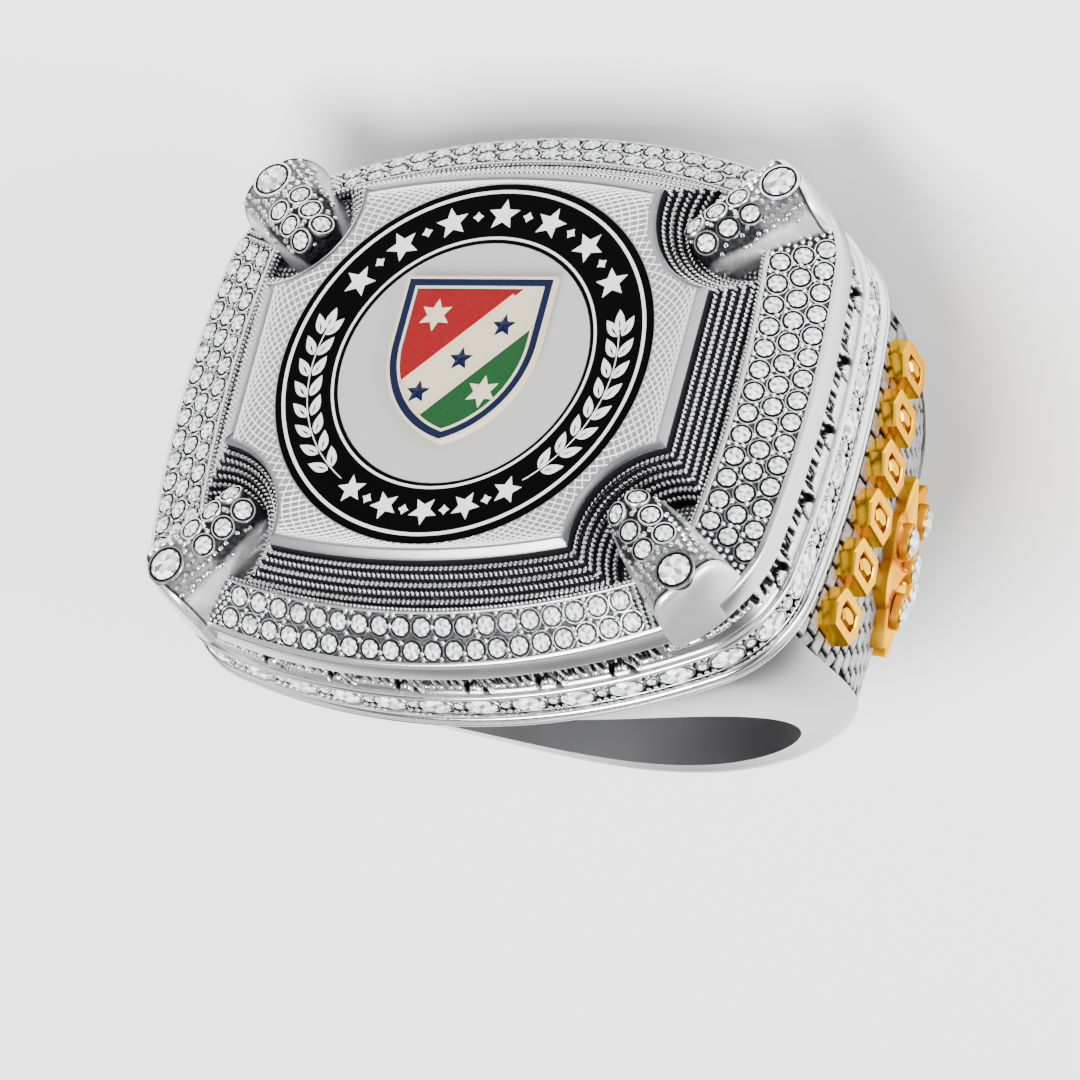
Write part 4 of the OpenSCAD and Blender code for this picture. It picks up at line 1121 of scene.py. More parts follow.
def claw_shape(s):
    """A claw: domed sections along its length, set closer at the tip and at the shoulder, which bends with
    the head's outline, and a plain wall down to the foot."""
    end = float(claw_end(s, 0.0))
    shoulder = end - CLAW_SHOULDER
    along = np.concatenate([
        -s.claw_in + 1.4 * (1 - np.cos(np.linspace(0.02, math.pi / 2, 16))),
        np.linspace(1.5 - s.claw_in, shoulder - 0.1, 34),
        end - CLAW_SHOULDER * (1 - np.sqrt(np.sin(np.linspace(0, math.pi / 2, 20))))])
    a, share_across = np.meshgrid(along, np.cos(np.linspace(0, math.pi, 61)), indexing="ij")
    across = claw_width(s, a) * share_across
    bent = a + np.clip((a + 0.9) / (shoulder + 0.9), 0, 1) * (claw_end(s, across) - end)
    foot = np.where(along < -1.5, s.moat_z - 0.3, s.gallery_top + 0.02)
    body = np.stack([bent, across, claw_height(s, bent, across)], -1)
    sides = [np.stack([bent[:, i], across[:, i], foot], 1)[:, None] for i in (0, -1)]
    rings = np.concatenate([sides[0], body, sides[1]], 1)
    rings = np.concatenate([rings, rings[-1:] * [1, 1, 0] + [0, 0, foot[-1]]])
    aside, back = (np.pad(np.abs(v), ((0, 1), (1, 1)), mode="edge") for v in (share_across, a))
    # Darkness of the claw: patina with painted shade, more on the beaded top than on the flanks and more
    # towards the shoulder, with a dark line where the plain shoulder starts, which stays bright
    dark = np.interp(aside, [0.78, 0.88], [0.62, 0.30]) * np.interp(back, [1.6, 2.2], [1, 1.3])
    dark[-20], dark[-19:] = 0.9, 0
    return capped(rings, dark)


def claws_shape(s):
    """The claws of all four corners."""
    one = claw_shape(s)
    return joined([shape(on_claw(s, sign, one.points), *one.faces, hollow=one.hollow) for sign in CORNERS])


CLAW_BEAD, CLAW_BEAD_PITCH, CLAW_BEAD_SCATTER, CLAW_BEAD_FIELD = 0.155, 0.33, 0.05, 0.84
CLAW_BEAD_SEED = 5


def claw_trim_shape(s):
    """Collars round the claws' stones, and beads scattered between them up to the plain shoulder."""
    small = claw_small_places(s)
    r, big = s.small_stone / 2, s.large_stone / 2
    a, b = np.meshgrid(
        np.arange(0.35 - s.claw_in, 0.6, CLAW_BEAD_PITCH), np.arange(-2.1, 2.15, CLAW_BEAD_PITCH))
    scatter = np.random.default_rng(CLAW_BEAD_SEED).standard_normal((a.size, 2))
    field = np.stack([a.ravel(), b.ravel()], 1) + CLAW_BEAD_SCATTER * scatter
    clear = np.abs(field[:, 1]) < claw_width(s, field[:, 0]) * CLAW_BEAD_FIELD
    clear &= np.linalg.norm(field[:, None] - small[None], axis=-1).min(1) > r + 0.20
    clear &= np.linalg.norm(field, axis=1) > big + 0.26
    clear &= field[:, 0] < claw_end(s, field[:, 1]) - CLAW_SHOULDER
    return joined([
        placed(collar(r, 0.05, width=0.06), *claw_spots(s, small)),
        placed(collar(big, 0.07, width=0.10, n=32), *claw_spots(s, [(0, 0)])),
        placed(bead(CLAW_BEAD), *claw_spots(s, field[clear], 0.03))])


def setting_shape(s):
    """Collars round the frame's stones and beads between them."""
    ring = collar(s.small_stone / 2, -0.01)
    return joined([placed(ring, *group) for group in frame_spots(s)] + [placed(bead(0.14), *bead_spots(s))])


# Channel of oval stones

OVAL_IN, PRONG_IN = 0.20, 0.24
ROUND_STONE, ROUND_IN = 0.44, 0.22


def channel_places(s):
    """Runs along a quarter of the head's outline, from the middle of a side to the middle of an end, where
    the channel's ovals lie. The corner takes as many as the spacing allows."""
    line = head_line(s, 0)[0][:sum(LINE) + 1]
    run = run_along(line)
    side_part, end_part = slice(LINE[0]), slice(LINE[0] + LINE[1], None)
    side = np.interp(row(OVALS_SIDE, s.oval_pitch)[OVALS_SIDE // 2:], line[side_part, 1], run[side_part])
    at_end = -row(OVALS_END, s.oval_pitch)[:OVALS_END // 2]
    end = np.interp(at_end, line[end_part, 0][::-1], run[end_part][::-1])
    inner = round((end[0] - side[-1]) / s.oval_pitch) - 1
    corner = np.linspace(side[-1], end[0], inner + 2)[1:-1]
    return run, np.concatenate([side, corner, end])


def channel_spots(s, k, between=False):
    """Spots and axes of the channel's ovals, moved in by k, or of the places between them."""
    run, at = channel_places(s)
    if between:
        at = np.concatenate([[0], (at[1:] + at[:-1]) / 2, [run[-1]]])
    p, n = (np.stack([np.interp(at, run, part[:len(run), i]) for i in (0, 1)], 1) for part in head_line(s, k))
    signs = np.repeat([(1, 1), (-1, -1), (-1, 1), (1, -1)], len(at), axis=0)
    p, n = np.tile(p, (4, 1)) * signs, np.tile(unit(n), (4, 1)) * signs
    _, first = np.unique(np.round(p, 3), axis=0, return_index=True)
    p, n = p[np.sort(first)], n[np.sort(first)]
    return lifted(p, (s.rail_top + s.channel_top) / 2), axes_for(lifted(n, 0), lifted(left_of(n), 0))


def channel_setting_shape(s):
    """Bezels round the ovals, collars round the small stones between them, and beads beside those."""
    bezel = collar(s.oval_l / 2, 0.0, s.oval_h / s.oval_l, n=24, width=0.07, gap=0.03)
    small, small_axes = channel_spots(s, PRONG_IN, between=True)
    parts = [
        placed(bezel, *channel_spots(s, OVAL_IN)),
        placed(collar(ROUND_STONE / 2, 0.02, n=14, width=0.06, gap=0.03), small, small_axes)]
    for across in (-0.52, 0.52):
        for along in (-0.36, 0.0, 0.36):
            shift = small_axes[:, 0] * along + small_axes[:, 1] * across
            parts.append(placed(bead(0.14, 8), small + shift, small_axes))
    return joined(parts)


# Name plate

SCOOP_HOLD = 0.67
RIM_IN, POCKET_GAP, GROUND_DROP, PLATE_T = 0.44, 0.04, 0.07, 1.3


def plate_rim(s, k):
    """The plate's outline moved by k, but by only a third of it along the scooped corners."""
    n1, n2, n3 = PLATE_LINE
    held = np.repeat([0, SCOOP_HOLD, 0], [n1, n2, n3 + 1])
    held = np.concatenate([held[:-1], held[:0:-1]] * 2)[:, None]
    return plate_line(s, 0) * held + plate_line(s, k) * (1 - held)


def plate_shape(s):
    """The name plate: a bright bevelled rim, an engraved ground and a round hole for the enamel."""
    line = plate_rim(s, -RIM_IN)
    hole = polar(np.arctan2(line[:, 1], line[:, 0]), s.enamel + POCKET_GAP)
    rows = [(hole + (line - hole) * t, s.face_z - GROUND_DROP, 0) for t in (0, 0.5, 1)]
    # The plate's outer wall below its bevel is darkened: patina with painted shade under the rim
    rows += [(plate_rim(s, k), s.face_z + z, dark) for k, z, dark in (
        (-0.42, 0.0, 0), (-0.38, 0.02, 0), (-0.31, 0.015, 0), (-0.05, -0.22, 0), (0.0, -0.30, 0),
        (0.0, -0.42, 1), (0.0, -PLATE_T, 1))]
    return grid(*stacked(rows + [(hole, s.face_z - PLATE_T, 1)]))


def plate_reach(s, angle, k):
    """Distance from the centre to the plate's outline moved by k, ignoring the scoops: the nearer of the
    straight side and the bulged end."""
    c, d = np.abs(np.cos(angle)), np.abs(np.sin(angle))
    low, big = s.plate_y - s.plate_bulge, s.plate_bulge + k
    side = (s.plate_x + k) / np.maximum(c, 1e-6)
    return np.minimum(side, low * d + np.sqrt((low * d)**2 - low**2 + big**2))


def ribbon(points, width, z, height=0.035):
    """A fine raised line with a ridge: three points across at each point of an (n, 2) path."""
    across = left_of(unit(np.gradient(points, axis=0))) * width / 2
    across[[0, -1]] *= 0.2
    lines = ((points - across, z), (points, z + height), (points + across, z))
    return capped(np.stack([lifted(*line) for line in lines], 1))


GUILLOCHE_WAVES, GUILLOCHE_LOBES, GUILLOCHE_LINE = 22, 6, 0.085
GUILLOCHE_UNDER, GUILLOCHE_FAR = 1.2, 12.6


def guilloche_shape(s):
    """Engraved waves round the enamel: r = inner + (outer - inner)(1 + sin(lobes * angle + phase)) / 2, for
    evenly spaced phases, where the outer bound follows the plate. Stretches off the ground are left out."""
    angle = np.linspace(0, TAU, 1500)
    inner = s.enamel - GUILLOCHE_UNDER
    outer = np.minimum(plate_reach(s, angle, -0.50), GUILLOCHE_FAR)
    parts = []
    for i in range(GUILLOCHE_WAVES):
        r = inner + (outer - inner) * (1 + np.sin(GUILLOCHE_LOBES * angle + TAU * i / GUILLOCHE_WAVES)) / 2
        line = polar(angle, r)
        scoop = np.linalg.norm(np.abs(line) - [s.scoop_x, s.scoop_y], axis=1)
        free = (r > s.enamel + 0.06) & (scoop > s.scoop + 0.22)
        edges = np.flatnonzero(np.diff(np.concatenate([[0], free, [0]])))
        parts += [
            ribbon(line[a:b], GUILLOCHE_LINE, s.face_z - GROUND_DROP - 0.005)
            for a, b in zip(edges[::2], edges[1::2]) if b - a > 3]
    return joined(parts)


# Enamel ornaments

ENAMEL_TOP, RAISED = 0.004, 0.035
# Shares of the enamel's radius: the middle of the black band, and both edges of the fine rings
ENAMEL_MIDDLE = 0.826
FINE_RINGS = ((0.948, 0.966), (0.690, 0.704))


def hoop(inner, outer, low, high):
    """A flat ring with slightly rounded edges."""
    soft = 0.2 * (outer - inner)
    return revolved([
        (inner, low, 0), (outer, low, 0), (outer, high - 0.01, 0), (outer - soft, high, 0),
        (inner + soft, high, 0), (inner, high - 0.01, 0)], 240)


def fine_rings_shape(s):
    """The bright lines round the black enamel."""
    low, high = s.face_z - 0.02, s.face_z + RAISED
    return joined([hoop(a * s.enamel, b * s.enamel, low, high) for a, b in FINE_RINGS])


def leaf(length_mm, width):
    """A leaf along X from the origin, domed, in two halves on either side of a slit along its base. Its half
    width at share t of its length is width / 2 * sin(pi * t^0.8)^0.9."""
    t = np.linspace(0, 1, 12)
    half = width / 2 * np.sin(math.pi * t**0.80)**0.9
    slit = np.minimum(0.10 * width * np.clip(1 - np.abs(t - 0.32) / 0.30, 0, 1), half)
    return joined([
        capped(np.stack([
            np.stack([t * length_mm, side * (slit + (half - slit) * across), np.full(12, z * RAISED)], 1)
            for across, z in ((0, 0.0), (0.0, 1.0), (0.5, 1.25), (0.92, 0.8), (1, 0.0))], 1))
        for side in (-1, 1)])


LEAF_PAIRS, LEAF_LENGTH, LEAF_WIDTH, LEAF_LEAN, LEAF_OFF = 8, 1.12, 0.50, 0.52, 0.12
SPRIG_FROM, SPRIG_TO, SPRIG_SWAY, STEM_WIDTH = math.radians(-47), math.radians(13), 0.10, 0.07


def laurel_shape(s):
    """Two sprigs in the black band: paired leaves on a curved stem, from low on each side to above the
    middle."""
    mid, first, last = ENAMEL_MIDDLE * s.enamel, SPRIG_FROM, SPRIG_TO
    z = s.face_z + ENAMEL_TOP - 0.01
    stem = np.linspace(first - 0.10, last, 60)
    sway = SPRIG_SWAY * np.sin((stem - first) / (last - first) * math.pi)
    pairs = np.linspace(first + 0.02, last - 0.04, LEAF_PAIRS)
    spots = np.concatenate([polar(pairs, mid + LEAF_OFF), polar(pairs, mid - LEAF_OFF), [polar(last, mid)]])
    headings = np.concatenate([pairs - LEAF_LEAN, pairs + LEAF_LEAN, [last]]) + math.pi / 2
    right = joined([
        ribbon(polar(stem, mid + sway - 0.05), STEM_WIDTH, z, RAISED),
        placed(leaf(LEAF_LENGTH, LEAF_WIDTH), lifted(spots, z), flat_axes(polar(headings)))])
    left = shape(right.points * [-1, 1, 1], *right.faces, hollow=right.hollow)
    return joined([right, left])


def star(radius, height=RAISED, points=5, waist=0.45):
    """A small raised star: a ridge to each point, rising to a peak in the middle."""
    j = np.arange(2 * points)
    line = polar(TAU * j / (2 * points) + math.pi / 2, radius * np.where(j % 2 == 0, 1, waist))
    tips = np.concatenate([lifted(line, 0.4 * height), lifted(line, -0.02), [[0, 0, 1.6 * height]]])
    low = 2 * points + j
    return shape(tips, fan(4 * points, j), belt(j, low), low[None])


# Arcs of stars in the black band: middle and spacing in degrees, number and radius
STAR_ARCS = ((90, 19.0, 7, 0.82), (-90, 15.5, 5, 0.74))


def stars_shape(s):
    """Stars and lozenges between them in the black band: an arc above the disc and a shorter one below it."""
    mid, z = ENAMEL_MIDDLE * s.enamel, s.face_z + ENAMEL_TOP
    parts = []
    for middle, pitch, count, radius in STAR_ARCS:
        for one, number in ((star(radius, 0.05), count), (star(0.27, 0.04, 4, 0.6), count - 1)):
            out = polar(np.radians(middle + row(number, pitch)))
            parts.append(placed(one, lifted(out * mid, z), flat_axes(-left_of(out))))
    return joined(parts)


# Crest

CREST_HALF, CREST_TOP, CREST_POINT, CREST_T, CREST_SEAT = 3.7, 3.4, 5.0, 0.3, 0.05
CREST_BORDER, CREST_BAND = 0.4, 2.0
CREST_LINE, CREST_PROUD = 0.11, 0.04
BAND_STARS, FIELD_STARS = [(-1.75, -1.75), (0, 0), (1.75, 1.75)], [(-1.9, 2.3), (1.55, -1.7)]


def shield_line(k):
    """The crest's outline moved in by k: straight top and upper sides, and two arcs that meet in a point."""
    w = CREST_HALF - k
    r = (CREST_POINT**2 + CREST_HALF**2) / (2 * CREST_HALF) - k
    right = [w - r, 0] + polar(np.linspace(0, math.acos((r - w) / r), 30), r) * [1, -1]
    top = np.array([[-w, CREST_TOP - k], [w, CREST_TOP - k]])
    return np.concatenate([right, right[-2::-1] * [-1, 1], top]) + [0, (CREST_POINT - CREST_TOP) / 2]


def clipped(polygon, k):
    """The part of a convex polygon inside the shield moved in by k, cut by each edge of the shield."""
    line, points = shield_line(k), list(polygon)
    for a, b in zip(line, np.roll(line, -1, 0)):
        off = [(b[0] - a[0]) * (p[1] - a[1]) - (b[1] - a[1]) * (p[0] - a[0]) for p in points]
        kept = []
        for i, p in enumerate(points):
            if (off[i] <= 0) != (off[i - 1] <= 0):
                kept.append(points[i - 1] + (p - points[i - 1]) * off[i - 1] / (off[i - 1] - off[i]))
            if off[i] <= 0:
                kept.append(p)
        points = kept
    return np.array(points)


def crest_trim_shape(s):
    """Cream lines along both edges of the crest's border and along its band."""
    z = s.face_z + CREST_SEAT
    parts = []
    edges = ((0.0, -0.13, 0.03), (CREST_BORDER + CREST_LINE, CREST_BORDER - 0.02, CREST_PROUD))
    for inner, outer, high in edges:
        low, high = z - 0.03, z + CREST_T + high
        parts.append(grid(*stacked([
            (shield_line(k), h, 0) for k, h in ((inner, low), (outer, low), (outer, high), (inner, high))])))
    near, reach = CREST_BAND / 2 + 0.02, 3.9
    for side in (-1, 1):
        a, b = side * near, side * (near + CREST_LINE)
        bar = np.array([(-reach, a), (reach - 0.2, a), (reach - 0.2, b), (-reach, b)])
        line = clipped(bar @ np.array([[1, 1], [-1, 1]]) / math.sqrt(2), CREST_BORDER)
        parts.append(capped(*stacked([(line, z, 0), (line, z + CREST_T + CREST_PROUD, 0)])))
    return joined(parts)


def crest_stars_shape(s, places, *star_sizes):
    """Upright stars on the crest."""
    spots = lifted(np.array(places), s.face_z + CREST_SEAT + CREST_T)
    return placed(star(*star_sizes), spots, flat_axes(np.tile([1.0, 0], (len(spots), 1))))


# Side panels

def on_panel(s, drop, y, lift, side):
    """Points at drops below the head, at y along the finger and at a lift over the panel's top."""
    return surface_point(s, turn_at(s, drop), y, s.panel_top - lift) * [side, 1, 1]


def field_half(s, turn):
    """Half width of the brick field: the panel's, and near the head it runs on over the rounded edge."""
    return panel_half(s, turn) + 1.45 * np.clip(1 - s.arc_r * np.sin(turn) / 6.5, 0, 1)


def on_field(s, turn, y, lift, side):
    """Points at a lift over the brick field, which follows the panel's top and then the rounded edge."""
    wide, deep = edge_sizes(s, turn)
    edge = rim(s, turn)
    f = np.clip((np.abs(y) - band_half(s, edge[..., 0], edge[..., 1]) + wide) / wide, 0, 0.999)
    e = np.maximum(s.panel_top, deep * (1 - np.sqrt(1 - f**2)))
    return surface_point(s, turn, y, e - lift) * [side, 1, 1]


BRICK_FIRST, BRICK_LEAST, BRICK_EDGE = 0.12, 0.25, 0.08
# Layers of a brick, from its foot up: how far its sides and ends are cut back, lift and dark, which is patina
# with painted shade that grows lighter towards the top
BRICK_LAYERS = ((0, 0, -0.20, 1.0), (0, 0, 0.0, 0.72), (0.05, 0.06, 0.08, 0.50))


def bricks_shape(s, side):
    """Rows of bevelled bricks, each row shifted by half a brick, on a ground darkened with patina and painted
    shade.
    """
    half_w, half_l = s.brick_w / 2 - 0.08, s.brick_l / 2 - 0.09
    boxes = []
    for i in range(int(s.panel_share * s.drop / s.brick_w)):
        drop = BRICK_FIRST + (i + 0.5) * s.brick_w
        if turn_at(s, drop + half_w) > s.panel_end:
            break
        reach = float(field_half(s, turn_at(s, np.array(drop)))) - BRICK_EDGE
        y = (np.arange(-20, 21) + 0.5 * (i % 2)) * s.brick_l
        low, high = np.maximum(y - half_l, -reach), np.minimum(y + half_l, reach)
        keep = high - low > BRICK_LEAST
        boxes += [(drop, (a + b) / 2, (b - a) / 2) for a, b in zip(low[keep], high[keep])]
    d, y, half = np.array(boxes).T[..., None]
    corner = np.array([(-1, -1), (0, -1), (1, -1), (1, 1), (0, 1), (-1, 1)])
    layers = []
    for cut_w, cut_l, lift, _ in BRICK_LAYERS:
        down, along = d + corner[:, 0] * (half_w - cut_w), y + corner[:, 1] * (half - cut_l)
        layers.append(on_field(s, turn_at(s, down), along, lift, side))
    m, n = len(corner), len(boxes)
    start = (np.arange(n) * 3 * m)[:, None, None]
    j = np.arange(m)
    walls = np.concatenate([belt(j, j + m), belt(j + m, j + 2 * m)])
    caps = np.array([j + 2 * m, j[::-1]])
    return shape(
        np.stack(layers, 1).reshape(-1, 3), (walls + start).reshape(-1, 4), (caps + start).reshape(-1, m),
        hollow=np.tile(np.repeat([dark for *_, dark in BRICK_LAYERS], m), n))


def panel_ground_shape(s, side):
    """The sheet under the bricks, darkened all over: patina with painted shade in the gaps between them."""
    t, a = np.meshgrid(np.linspace(0.004, s.panel_end - 0.003, 60), np.linspace(-1, 1, 41), indexing="ij")
    y = a * (field_half(s, t) - 0.04)
    top, low = (on_field(s, t, y, lift, side) for lift in (-0.13, -s.panel_t))
    return capped(np.concatenate([top, low[:, ::-1]], 1), 1)


def hexagon(length_mm, width, k):
    """A hexagon with points on X, moved in by k."""
    x, y = length_mm / 2 - k * 1.12, width / 2 - k
    shoulder = length_mm / 2 - width / 4 - k * 0.5
    return np.array([(x, 0), (shoulder, y), (-shoulder, y), (-x, 0), (-shoulder, -y), (shoulder, -y)])


GOLD_FIGURES, GOLD_LIFT = 6, 0.05


def gold_figures_shape(s, side):
    """Gold figures in a row, each bent to the panel at its own place: a bevelled frame with a sunk floor, and
    a raised lozenge in it."""
    top = s.block_h
    # Dark column: patina with painted shade in the gold's recesses, on the sunk floor and at the feet
    frame_rows = [(hexagon(s.block_l, s.block_w, k), z, dark) for k, z, dark in (
        (0.02, -0.25, 0.6), (0.0, 0.05, 0.3), (0.02, top - 0.12, 0), (0.09, top, 0), (0.50, top, 0),
        (0.56, top - 0.06, 0.2), (0.58, top - 0.45, 0.9))]
    x, y = s.block_l * 0.24, s.block_w * 0.17
    gem = np.array([(x, 0), (x / 2, y), (-x / 2, y), (-x, 0), (-x / 2, -y), (x / 2, -y)])
    gem_rows = [(gem, top - 0.6, 1), (gem * 0.95, top - 0.10, 0.2), (gem * 0.75, top + 0.01, 0)]
    parts = []
    for middle in row(GOLD_FIGURES, s.block_pitch):
        for rows in (frame_rows, gem_rows):
            flat, dark = stacked(rows)
            drop, along, lift = np.moveaxis(flat, -1, 0)
            bent = on_panel(s, s.block_drop + drop, middle + along, lift + GOLD_LIFT, side)
            parts.append(capped(bent, dark))
    return joined(parts)


EMBLEM_POINTS, EMBLEM_VALLEY, EMBLEM_SEAT, EMBLEM_SUNK = 8, 0.26, 0.24, 0.25
EMBLEM_SHARES = np.array([0.02, 0.12, 0.2, EMBLEM_SEAT, 0.4, 0.55, 0.7, 0.85, 0.95, 1.0, 1.0])


def emblem_shape(s, side):
    """The gold emblem: an eight-pointed star with a ridge to each point, r = R(1 - v * fold), bent to the
    panel, where fold is 0 on a ridge and 1 in a valley."""
    angle = np.linspace(0, TAU, 128, endpoint=False)
    fold = np.abs(((angle * EMBLEM_POINTS / TAU + 0.5) % 1) - 0.5) * 2
    share_out = EMBLEM_SHARES[:, None]
    rise = s.emblem_h * (0.62 + 0.38 * (1 - fold**0.8) * (1 - 0.35 * share_out))
    rise[EMBLEM_SHARES < EMBLEM_SEAT] = s.emblem_h
    rise[-2] = rise[-3] - 0.10
    rise[-1] = -EMBLEM_SUNK
    along, across = np.moveaxis(polar(angle, share_out * s.emblem_r * (1 - EMBLEM_VALLEY * fold)), -1, 0)
    # Valleys, the rim and the underside are darkened: patina with painted shade
    dark = np.clip(fold**3 * 0.8 * (share_out > 0.25) + (share_out > 0.97) * 0.5, 0, 1)
    along, across, dark = (np.concatenate([v, v[:1]]) for v in (along, across, dark))
    rise, dark[-1] = np.concatenate([rise, rise[-1:] - GOLD_LIFT]), 1
    return capped(on_panel(s, s.emblem_drop + along, across, rise + GOLD_LIFT, side), dark)


def emblem_spots(s, side, lift):
    """Spots and axes of an emblem's five stones."""
    along, across = np.concatenate([[[0, 0]], circle(4) * s.emblem_ring]).T
    lift = np.full(5, lift)
    spot = on_panel(s, s.emblem_drop + along, across, lift, side)
    ahead = on_panel(s, s.emblem_drop + along + 0.1, across, lift, side) - spot
    beside = on_panel(s, s.emblem_drop + along, across + 0.1, lift, side) - spot
    normal = np.cross(beside, ahead)
    return spot, axes_for(normal * np.sign(normal[:, :1]) * side, ahead)


# Operators

class BuildBand(bpy.types.Operator):
    """Build the band with its finger hole and the recesses for the panels"""
    bl_idname = "ring.build_band"
    bl_label = "Band"

    def execute(self, context):
        piece("band", band_shape(sizes()), "band silver", ["shank"], sharp=40)
        return {"FINISHED"}


class BuildLowerHead(bpy.types.Operator):
    """Build the rails, the hole's ceiling, the pierced gallery and the moat"""
    bl_idname = "ring.build_lower_head"
    bl_label = "Lower head"

    def execute(self, context):
        s = sizes()
        piece("head_rails", rails_shape(s), "polished silver", ["gallery"], sharp=50)
        # The ceiling takes the band's darker silver, the same painted shade as the band
        piece("hole_ceiling", ceiling_shape(s), "band silver", sharp=10)
        piece("pierced_gallery", gallery_shape(s), "polished silver", sharp=60)
        piece("moat_floor", moat_shape(s), "moat silver")
        piece("moat_beads", moat_beads_shape(s), "bead silver")
        return {"FINISHED"}


class BuildStoneFrame(bpy.types.Operator):
    """Build the stone frame, the claws and the metal round their stones"""
    bl_idname = "ring.build_stone_frame"
    bl_label = "Stone frame"

    def execute(self, context):
        s = sizes()
        piece("stone_tray", frame_ring_shape(s), "frame silver", ["stone_frame"], sharp=40)
        piece("corner_claws", claws_shape(s), "satin silver", sharp=60)
        piece("claw_trim", claw_trim_shape(s), "bead silver")
        piece("stone_collars", setting_shape(s), "bead silver")
        return {"FINISHED"}


# Seeds of the stones' turns and painted facet light, and their lifts out of the claws
SIDES_SEED, ENDS_SEED, CLAWS_SEED, LARGE_SEED = 11, 12, 13, 14
OVALS_SEED, ROUNDS_SEED, EMBLEM_SEED = 18, 19, 31
SMALL_LIFT, LARGE_LIFT, EMBLEM_LIFT = 0.03, 0.05, 0.22


def stone_piece(name, body, cad_node):
    piece(name, body, "cut crystal", [cad_node], sharp=FLAT)


class BuildStones(bpy.types.Operator):
    """Build the cut stones of the frame, the claws and the channel"""
    bl_idname = "ring.build_stones"
    bl_label = "Stones"

    def execute(self, context):
        s = sizes()
        sides, ends = frame_spots(s)
        small = claw_spots(s, claw_small_places(s), SMALL_LIFT)
        d = s.small_stone
        stone_piece("stones_sides", stones(*sides, d, d, SIDES_SEED), "frame_stones_sides")
        stone_piece("stones_ends", stones(*ends, d, d, ENDS_SEED), "frame_stones_ends")
        stone_piece("stones_claws", stones(*small, d, d, CLAWS_SEED), "claw_stones")
        spots, axes = claw_spots(s, [(0, 0)], LARGE_LIFT)
        for i in range(len(spots)):
            large = stones(spots[i:i + 1], axes[i:i + 1], s.large_stone, s.large_stone, LARGE_SEED + i)
            stone_piece(f"stone_large_{i + 1}", large, f"claw_stone_{i + 1}")
        ovals = stones(*channel_spots(s, OVAL_IN), s.oval_l, s.oval_h, OVALS_SEED)
        rounds = stones(*channel_spots(s, ROUND_IN, between=True), ROUND_STONE, ROUND_STONE, ROUNDS_SEED)
        stone_piece("stones_channel", joined([ovals, rounds]), "channel_stones")
        piece("channel_setting", channel_setting_shape(s), "bead silver")
        return {"FINISHED"}


class BuildNamePlate(bpy.types.Operator):
    """Build the name plate and its engraved waves"""
    bl_idname = "ring.build_name_plate"
    bl_label = "Name plate"

    def execute(self, context):
        s = sizes()
        piece("name_plate", plate_shape(s), "engraved silver", ["face_plate"], sharp=20)
        piece("guilloche", guilloche_shape(s), "bright cut", sharp=FLAT)
        return {"FINISHED"}


class BuildEnamel(bpy.types.Operator):
    """Dress the enamel and build the lines, sprigs and stars on it"""
    bl_idname = "ring.build_enamel"
    bl_label = "Enamel"

    def execute(self, context):
        s = sizes()
        dress("enamel_ring", "black enamel")
        dress("centre_disc", "white enamel")
        piece("fine_rings", fine_rings_shape(s), "bright cut")
        piece("laurel", laurel_shape(s), "bright cut")
        piece("band_stars", stars_shape(s), "bright cut", sharp=FLAT)
        return {"FINISHED"}


class BuildCrest(bpy.types.Operator):
    """Dress the crest's enamels and build its outlines and motifs"""
    bl_idname = "ring.build_crest"
    bl_label = "Crest"

    def execute(self, context):
        s = sizes()
        for part, paint in (("border", "navy"), ("red", "red"), ("green", "green"), ("band", "cream")):
            dress(f"crest_{part}", f"{paint} enamel")
        band_stars = crest_stars_shape(s, BAND_STARS, 0.62, 0.05)
        field_stars = crest_stars_shape(s, FIELD_STARS, 0.85, 0.05, 6, 0.5)
        piece("crest_lines", crest_trim_shape(s), "cream enamel", sharp=FLAT)
        piece("crest_band_stars", band_stars, "navy enamel", sharp=FLAT)
        piece("crest_field_motifs", field_stars, "cream enamel", sharp=FLAT)
        return {"FINISHED"}


class BuildSidePanels(bpy.types.Operator):
    """Build the brick grounds and the gold relief of both sides"""
    bl_idname = "ring.build_side_panels"
    bl_label = "Side panels"

    def execute(self, context):
        s = sizes()
        cup = collar(s.star_stone / 2, 0.0, n=24, width=0.12, gap=0.02)
        for name, side in (("right", 1), ("left", -1)):
            spots, axes = emblem_spots(s, side, s.emblem_h + EMBLEM_LIFT)
            ground = joined([panel_ground_shape(s, side), bricks_shape(s, side)])
            figures = gold_figures_shape(s, side)
            emblem = joined([emblem_shape(s, side), placed(cup, spots, axes)])
            gems = stones(spots, axes, s.star_stone, s.star_stone, EMBLEM_SEED + side)
            piece(f"bricks_{name}", ground, "brick silver", [f"side_panel_{name}"], sharp=FLAT)
            piece(f"gold_figures_{name}", figures, "polished gold", [f"gold_row_{name}"], sharp=FLAT)
            piece(f"gold_emblem_{name}", emblem, "polished gold", [f"gold_star_{name}"], sharp=25)
            stone_piece(f"stones_emblem_{name}", gems, f"star_stones_{name}")
        return {"FINISHED"}


# Stage. The photograph's view: directions in upright millimetres, and the picture's width and middle.
VIEW_RIGHT = np.array([0.8845, 0.2366, -0.4021])
VIEW_UP = np.array([-0.0083, 0.8697, 0.4935])
PICTURE_WIDTH, PICTURE_MIDDLE = 49.23, (3.474, -8.078)
CAMERA_AWAY, CAMERA_FAR, SENSOR = 2.0, 20, 36.0
FLOOR_HALF = 3.0
# The room's light by height, from straight down at 0 to straight up at 1, and how strong it is
SKY = (
    (0.5, 0.30), (0.57, 0.08), (0.64, 0.14), (0.70, 1.0), (0.80, 1.0), (0.86, 0.05), (0.95, 0.10),
    (1.0, 0.20))
SKY_STRENGTH = 1.5
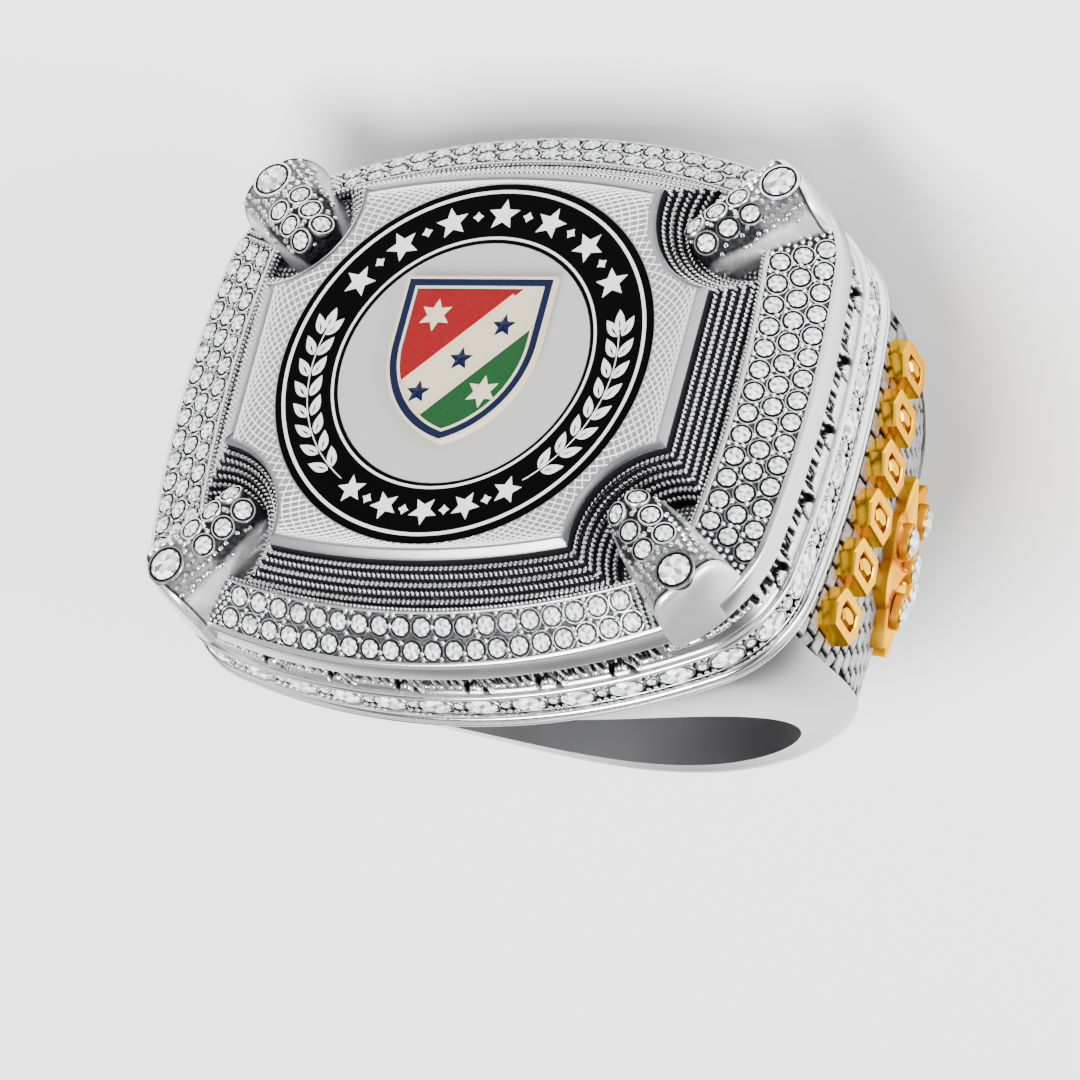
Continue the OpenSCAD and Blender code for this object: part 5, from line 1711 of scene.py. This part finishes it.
# Lamps: metres to the right, up and back in the view, metres above that, size and power
LAMPS = {"key": (-0.25, -0.25, 0.35, 0.0, 0.30, 7.0), "fill": (0.4, 0.0, 0.3, 0.1, 0.30, 4.0)}


def area_light(name, place, size, power, aim):
    """A soft square light that faces a point."""
    data = bpy.data.lights.new(name, "AREA")
    data.size, data.energy = size, power
    made = add_object(name, data)
    made.location = place
    made.rotation_euler = Vector(aim - place).to_track_quat("-Z", "Y").to_euler()


def soft_room():
    """A world of soft light in bands, so that polished metal has something to mirror."""
    world = bpy.data.worlds.new("soft room")
    world.use_nodes = True
    tree = world.node_tree
    ground = tree.nodes["Background"]
    put(ground, {"Strength": SKY_STRENGTH})
    place = node(tree, "ShaderNodeTexCoord")
    split = node(tree, "ShaderNodeSeparateXYZ")
    ramp = node(tree, "ShaderNodeValToRGB")
    shift = node(tree, "ShaderNodeMapRange", {"From Min": -1})
    stops = ramp.color_ramp.elements
    stops[0].position, stops[1].position = SKY[0][0], SKY[-1][0]
    for height, _ in SKY[1:-1]:
        stops.new(height)
    for stop, (_, bright) in zip(stops, SKY):
        stop.color = (bright, bright, bright, 1)
    wire(
        tree, (place, "Generated", split, "Vector"), (split, "Z", shift, "Value"),
        (shift, "Result", ramp, "Fac"), (ramp, "Color", ground, "Color"))
    return world


class BuildStage(bpy.types.Operator):
    """Set up the plain floor, the soft light and the camera"""
    bl_idname = "ring.build_stage"
    bl_label = "Stage"

    def execute(self, context):
        mesh = bpy.data.meshes.new("floor")
        corners = [(x * FLOOR_HALF, y * FLOOR_HALF, 0) for x, y in CORNERS[[2, 3, 0, 1]]]
        mesh.from_pydata(corners, [], [(0, 1, 2, 3)])
        mesh.materials.append(look("pale floor"))
        floor = add_object("floor", mesh)

        right, up = LAID @ VIEW_RIGHT, LAID @ VIEW_UP
        back = np.cross(right, up)
        aim = np.array([0, 0, sizes().face_z]) + PICTURE_MIDDLE[0] * VIEW_RIGHT + PICTURE_MIDDLE[1] * VIEW_UP
        target = laid(aim[None])[0]
        data = bpy.data.cameras.new("camera")
        data.sensor_width = SENSOR
        data.lens = SENSOR * CAMERA_AWAY / (PICTURE_WIDTH * MM)
        data.clip_end = CAMERA_FAR
        camera = add_object("camera", data)
        turn = Matrix(np.stack([right, up, back], 1).tolist()).to_4x4()
        camera.matrix_world = Matrix.Translation(Vector(target + back * CAMERA_AWAY)) @ turn
        context.scene.camera = camera

        context.scene.world = soft_room()
        for name, (to_right, to_up, to_back, above, size, power) in LAMPS.items():
            place = target + right * to_right + up * to_up + back * to_back + [0, 0, above]
            area_light(name, place, size, power, target)
        return {"FINISHED"}


class RingPanel(bpy.types.Panel):
    """Lists the ring's operators in the sidebar"""
    bl_idname = "RING_PT_build"
    bl_label = "Class ring"
    bl_space_type = "VIEW_3D"
    bl_region_type = "UI"
    bl_category = "Ring"

    def draw(self, context):
        for operator in OPERATORS:
            self.layout.operator(operator.bl_idname)
        for group in (context.scene.ring_sizes, context.scene.ring_colours):
            for key in group.__annotations__:
                self.layout.prop(group, key)


OPERATORS = (
    BuildStage, BuildBand, BuildLowerHead, BuildStoneFrame, BuildStones, BuildNamePlate, BuildEnamel,
    BuildCrest, BuildSidePanels,
)
CLASSES = (RingSizes, RingColours, *OPERATORS, RingPanel)


def register():
    for item in CLASSES:
        bpy.utils.register_class(item)
    bpy.types.Scene.ring_sizes = PointerProperty(type=RingSizes)
    bpy.types.Scene.ring_colours = PointerProperty(type=RingColours)


def unregister():
    del bpy.types.Scene.ring_sizes
    del bpy.types.Scene.ring_colours
    for item in reversed(CLASSES):
        bpy.utils.unregister_class(item)


def main():
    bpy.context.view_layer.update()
    register()
    for operator in OPERATORS:
        group, name = operator.bl_idname.split(".")
        getattr(getattr(bpy.ops, group), name)()


if __name__ == "__main__":
    main()
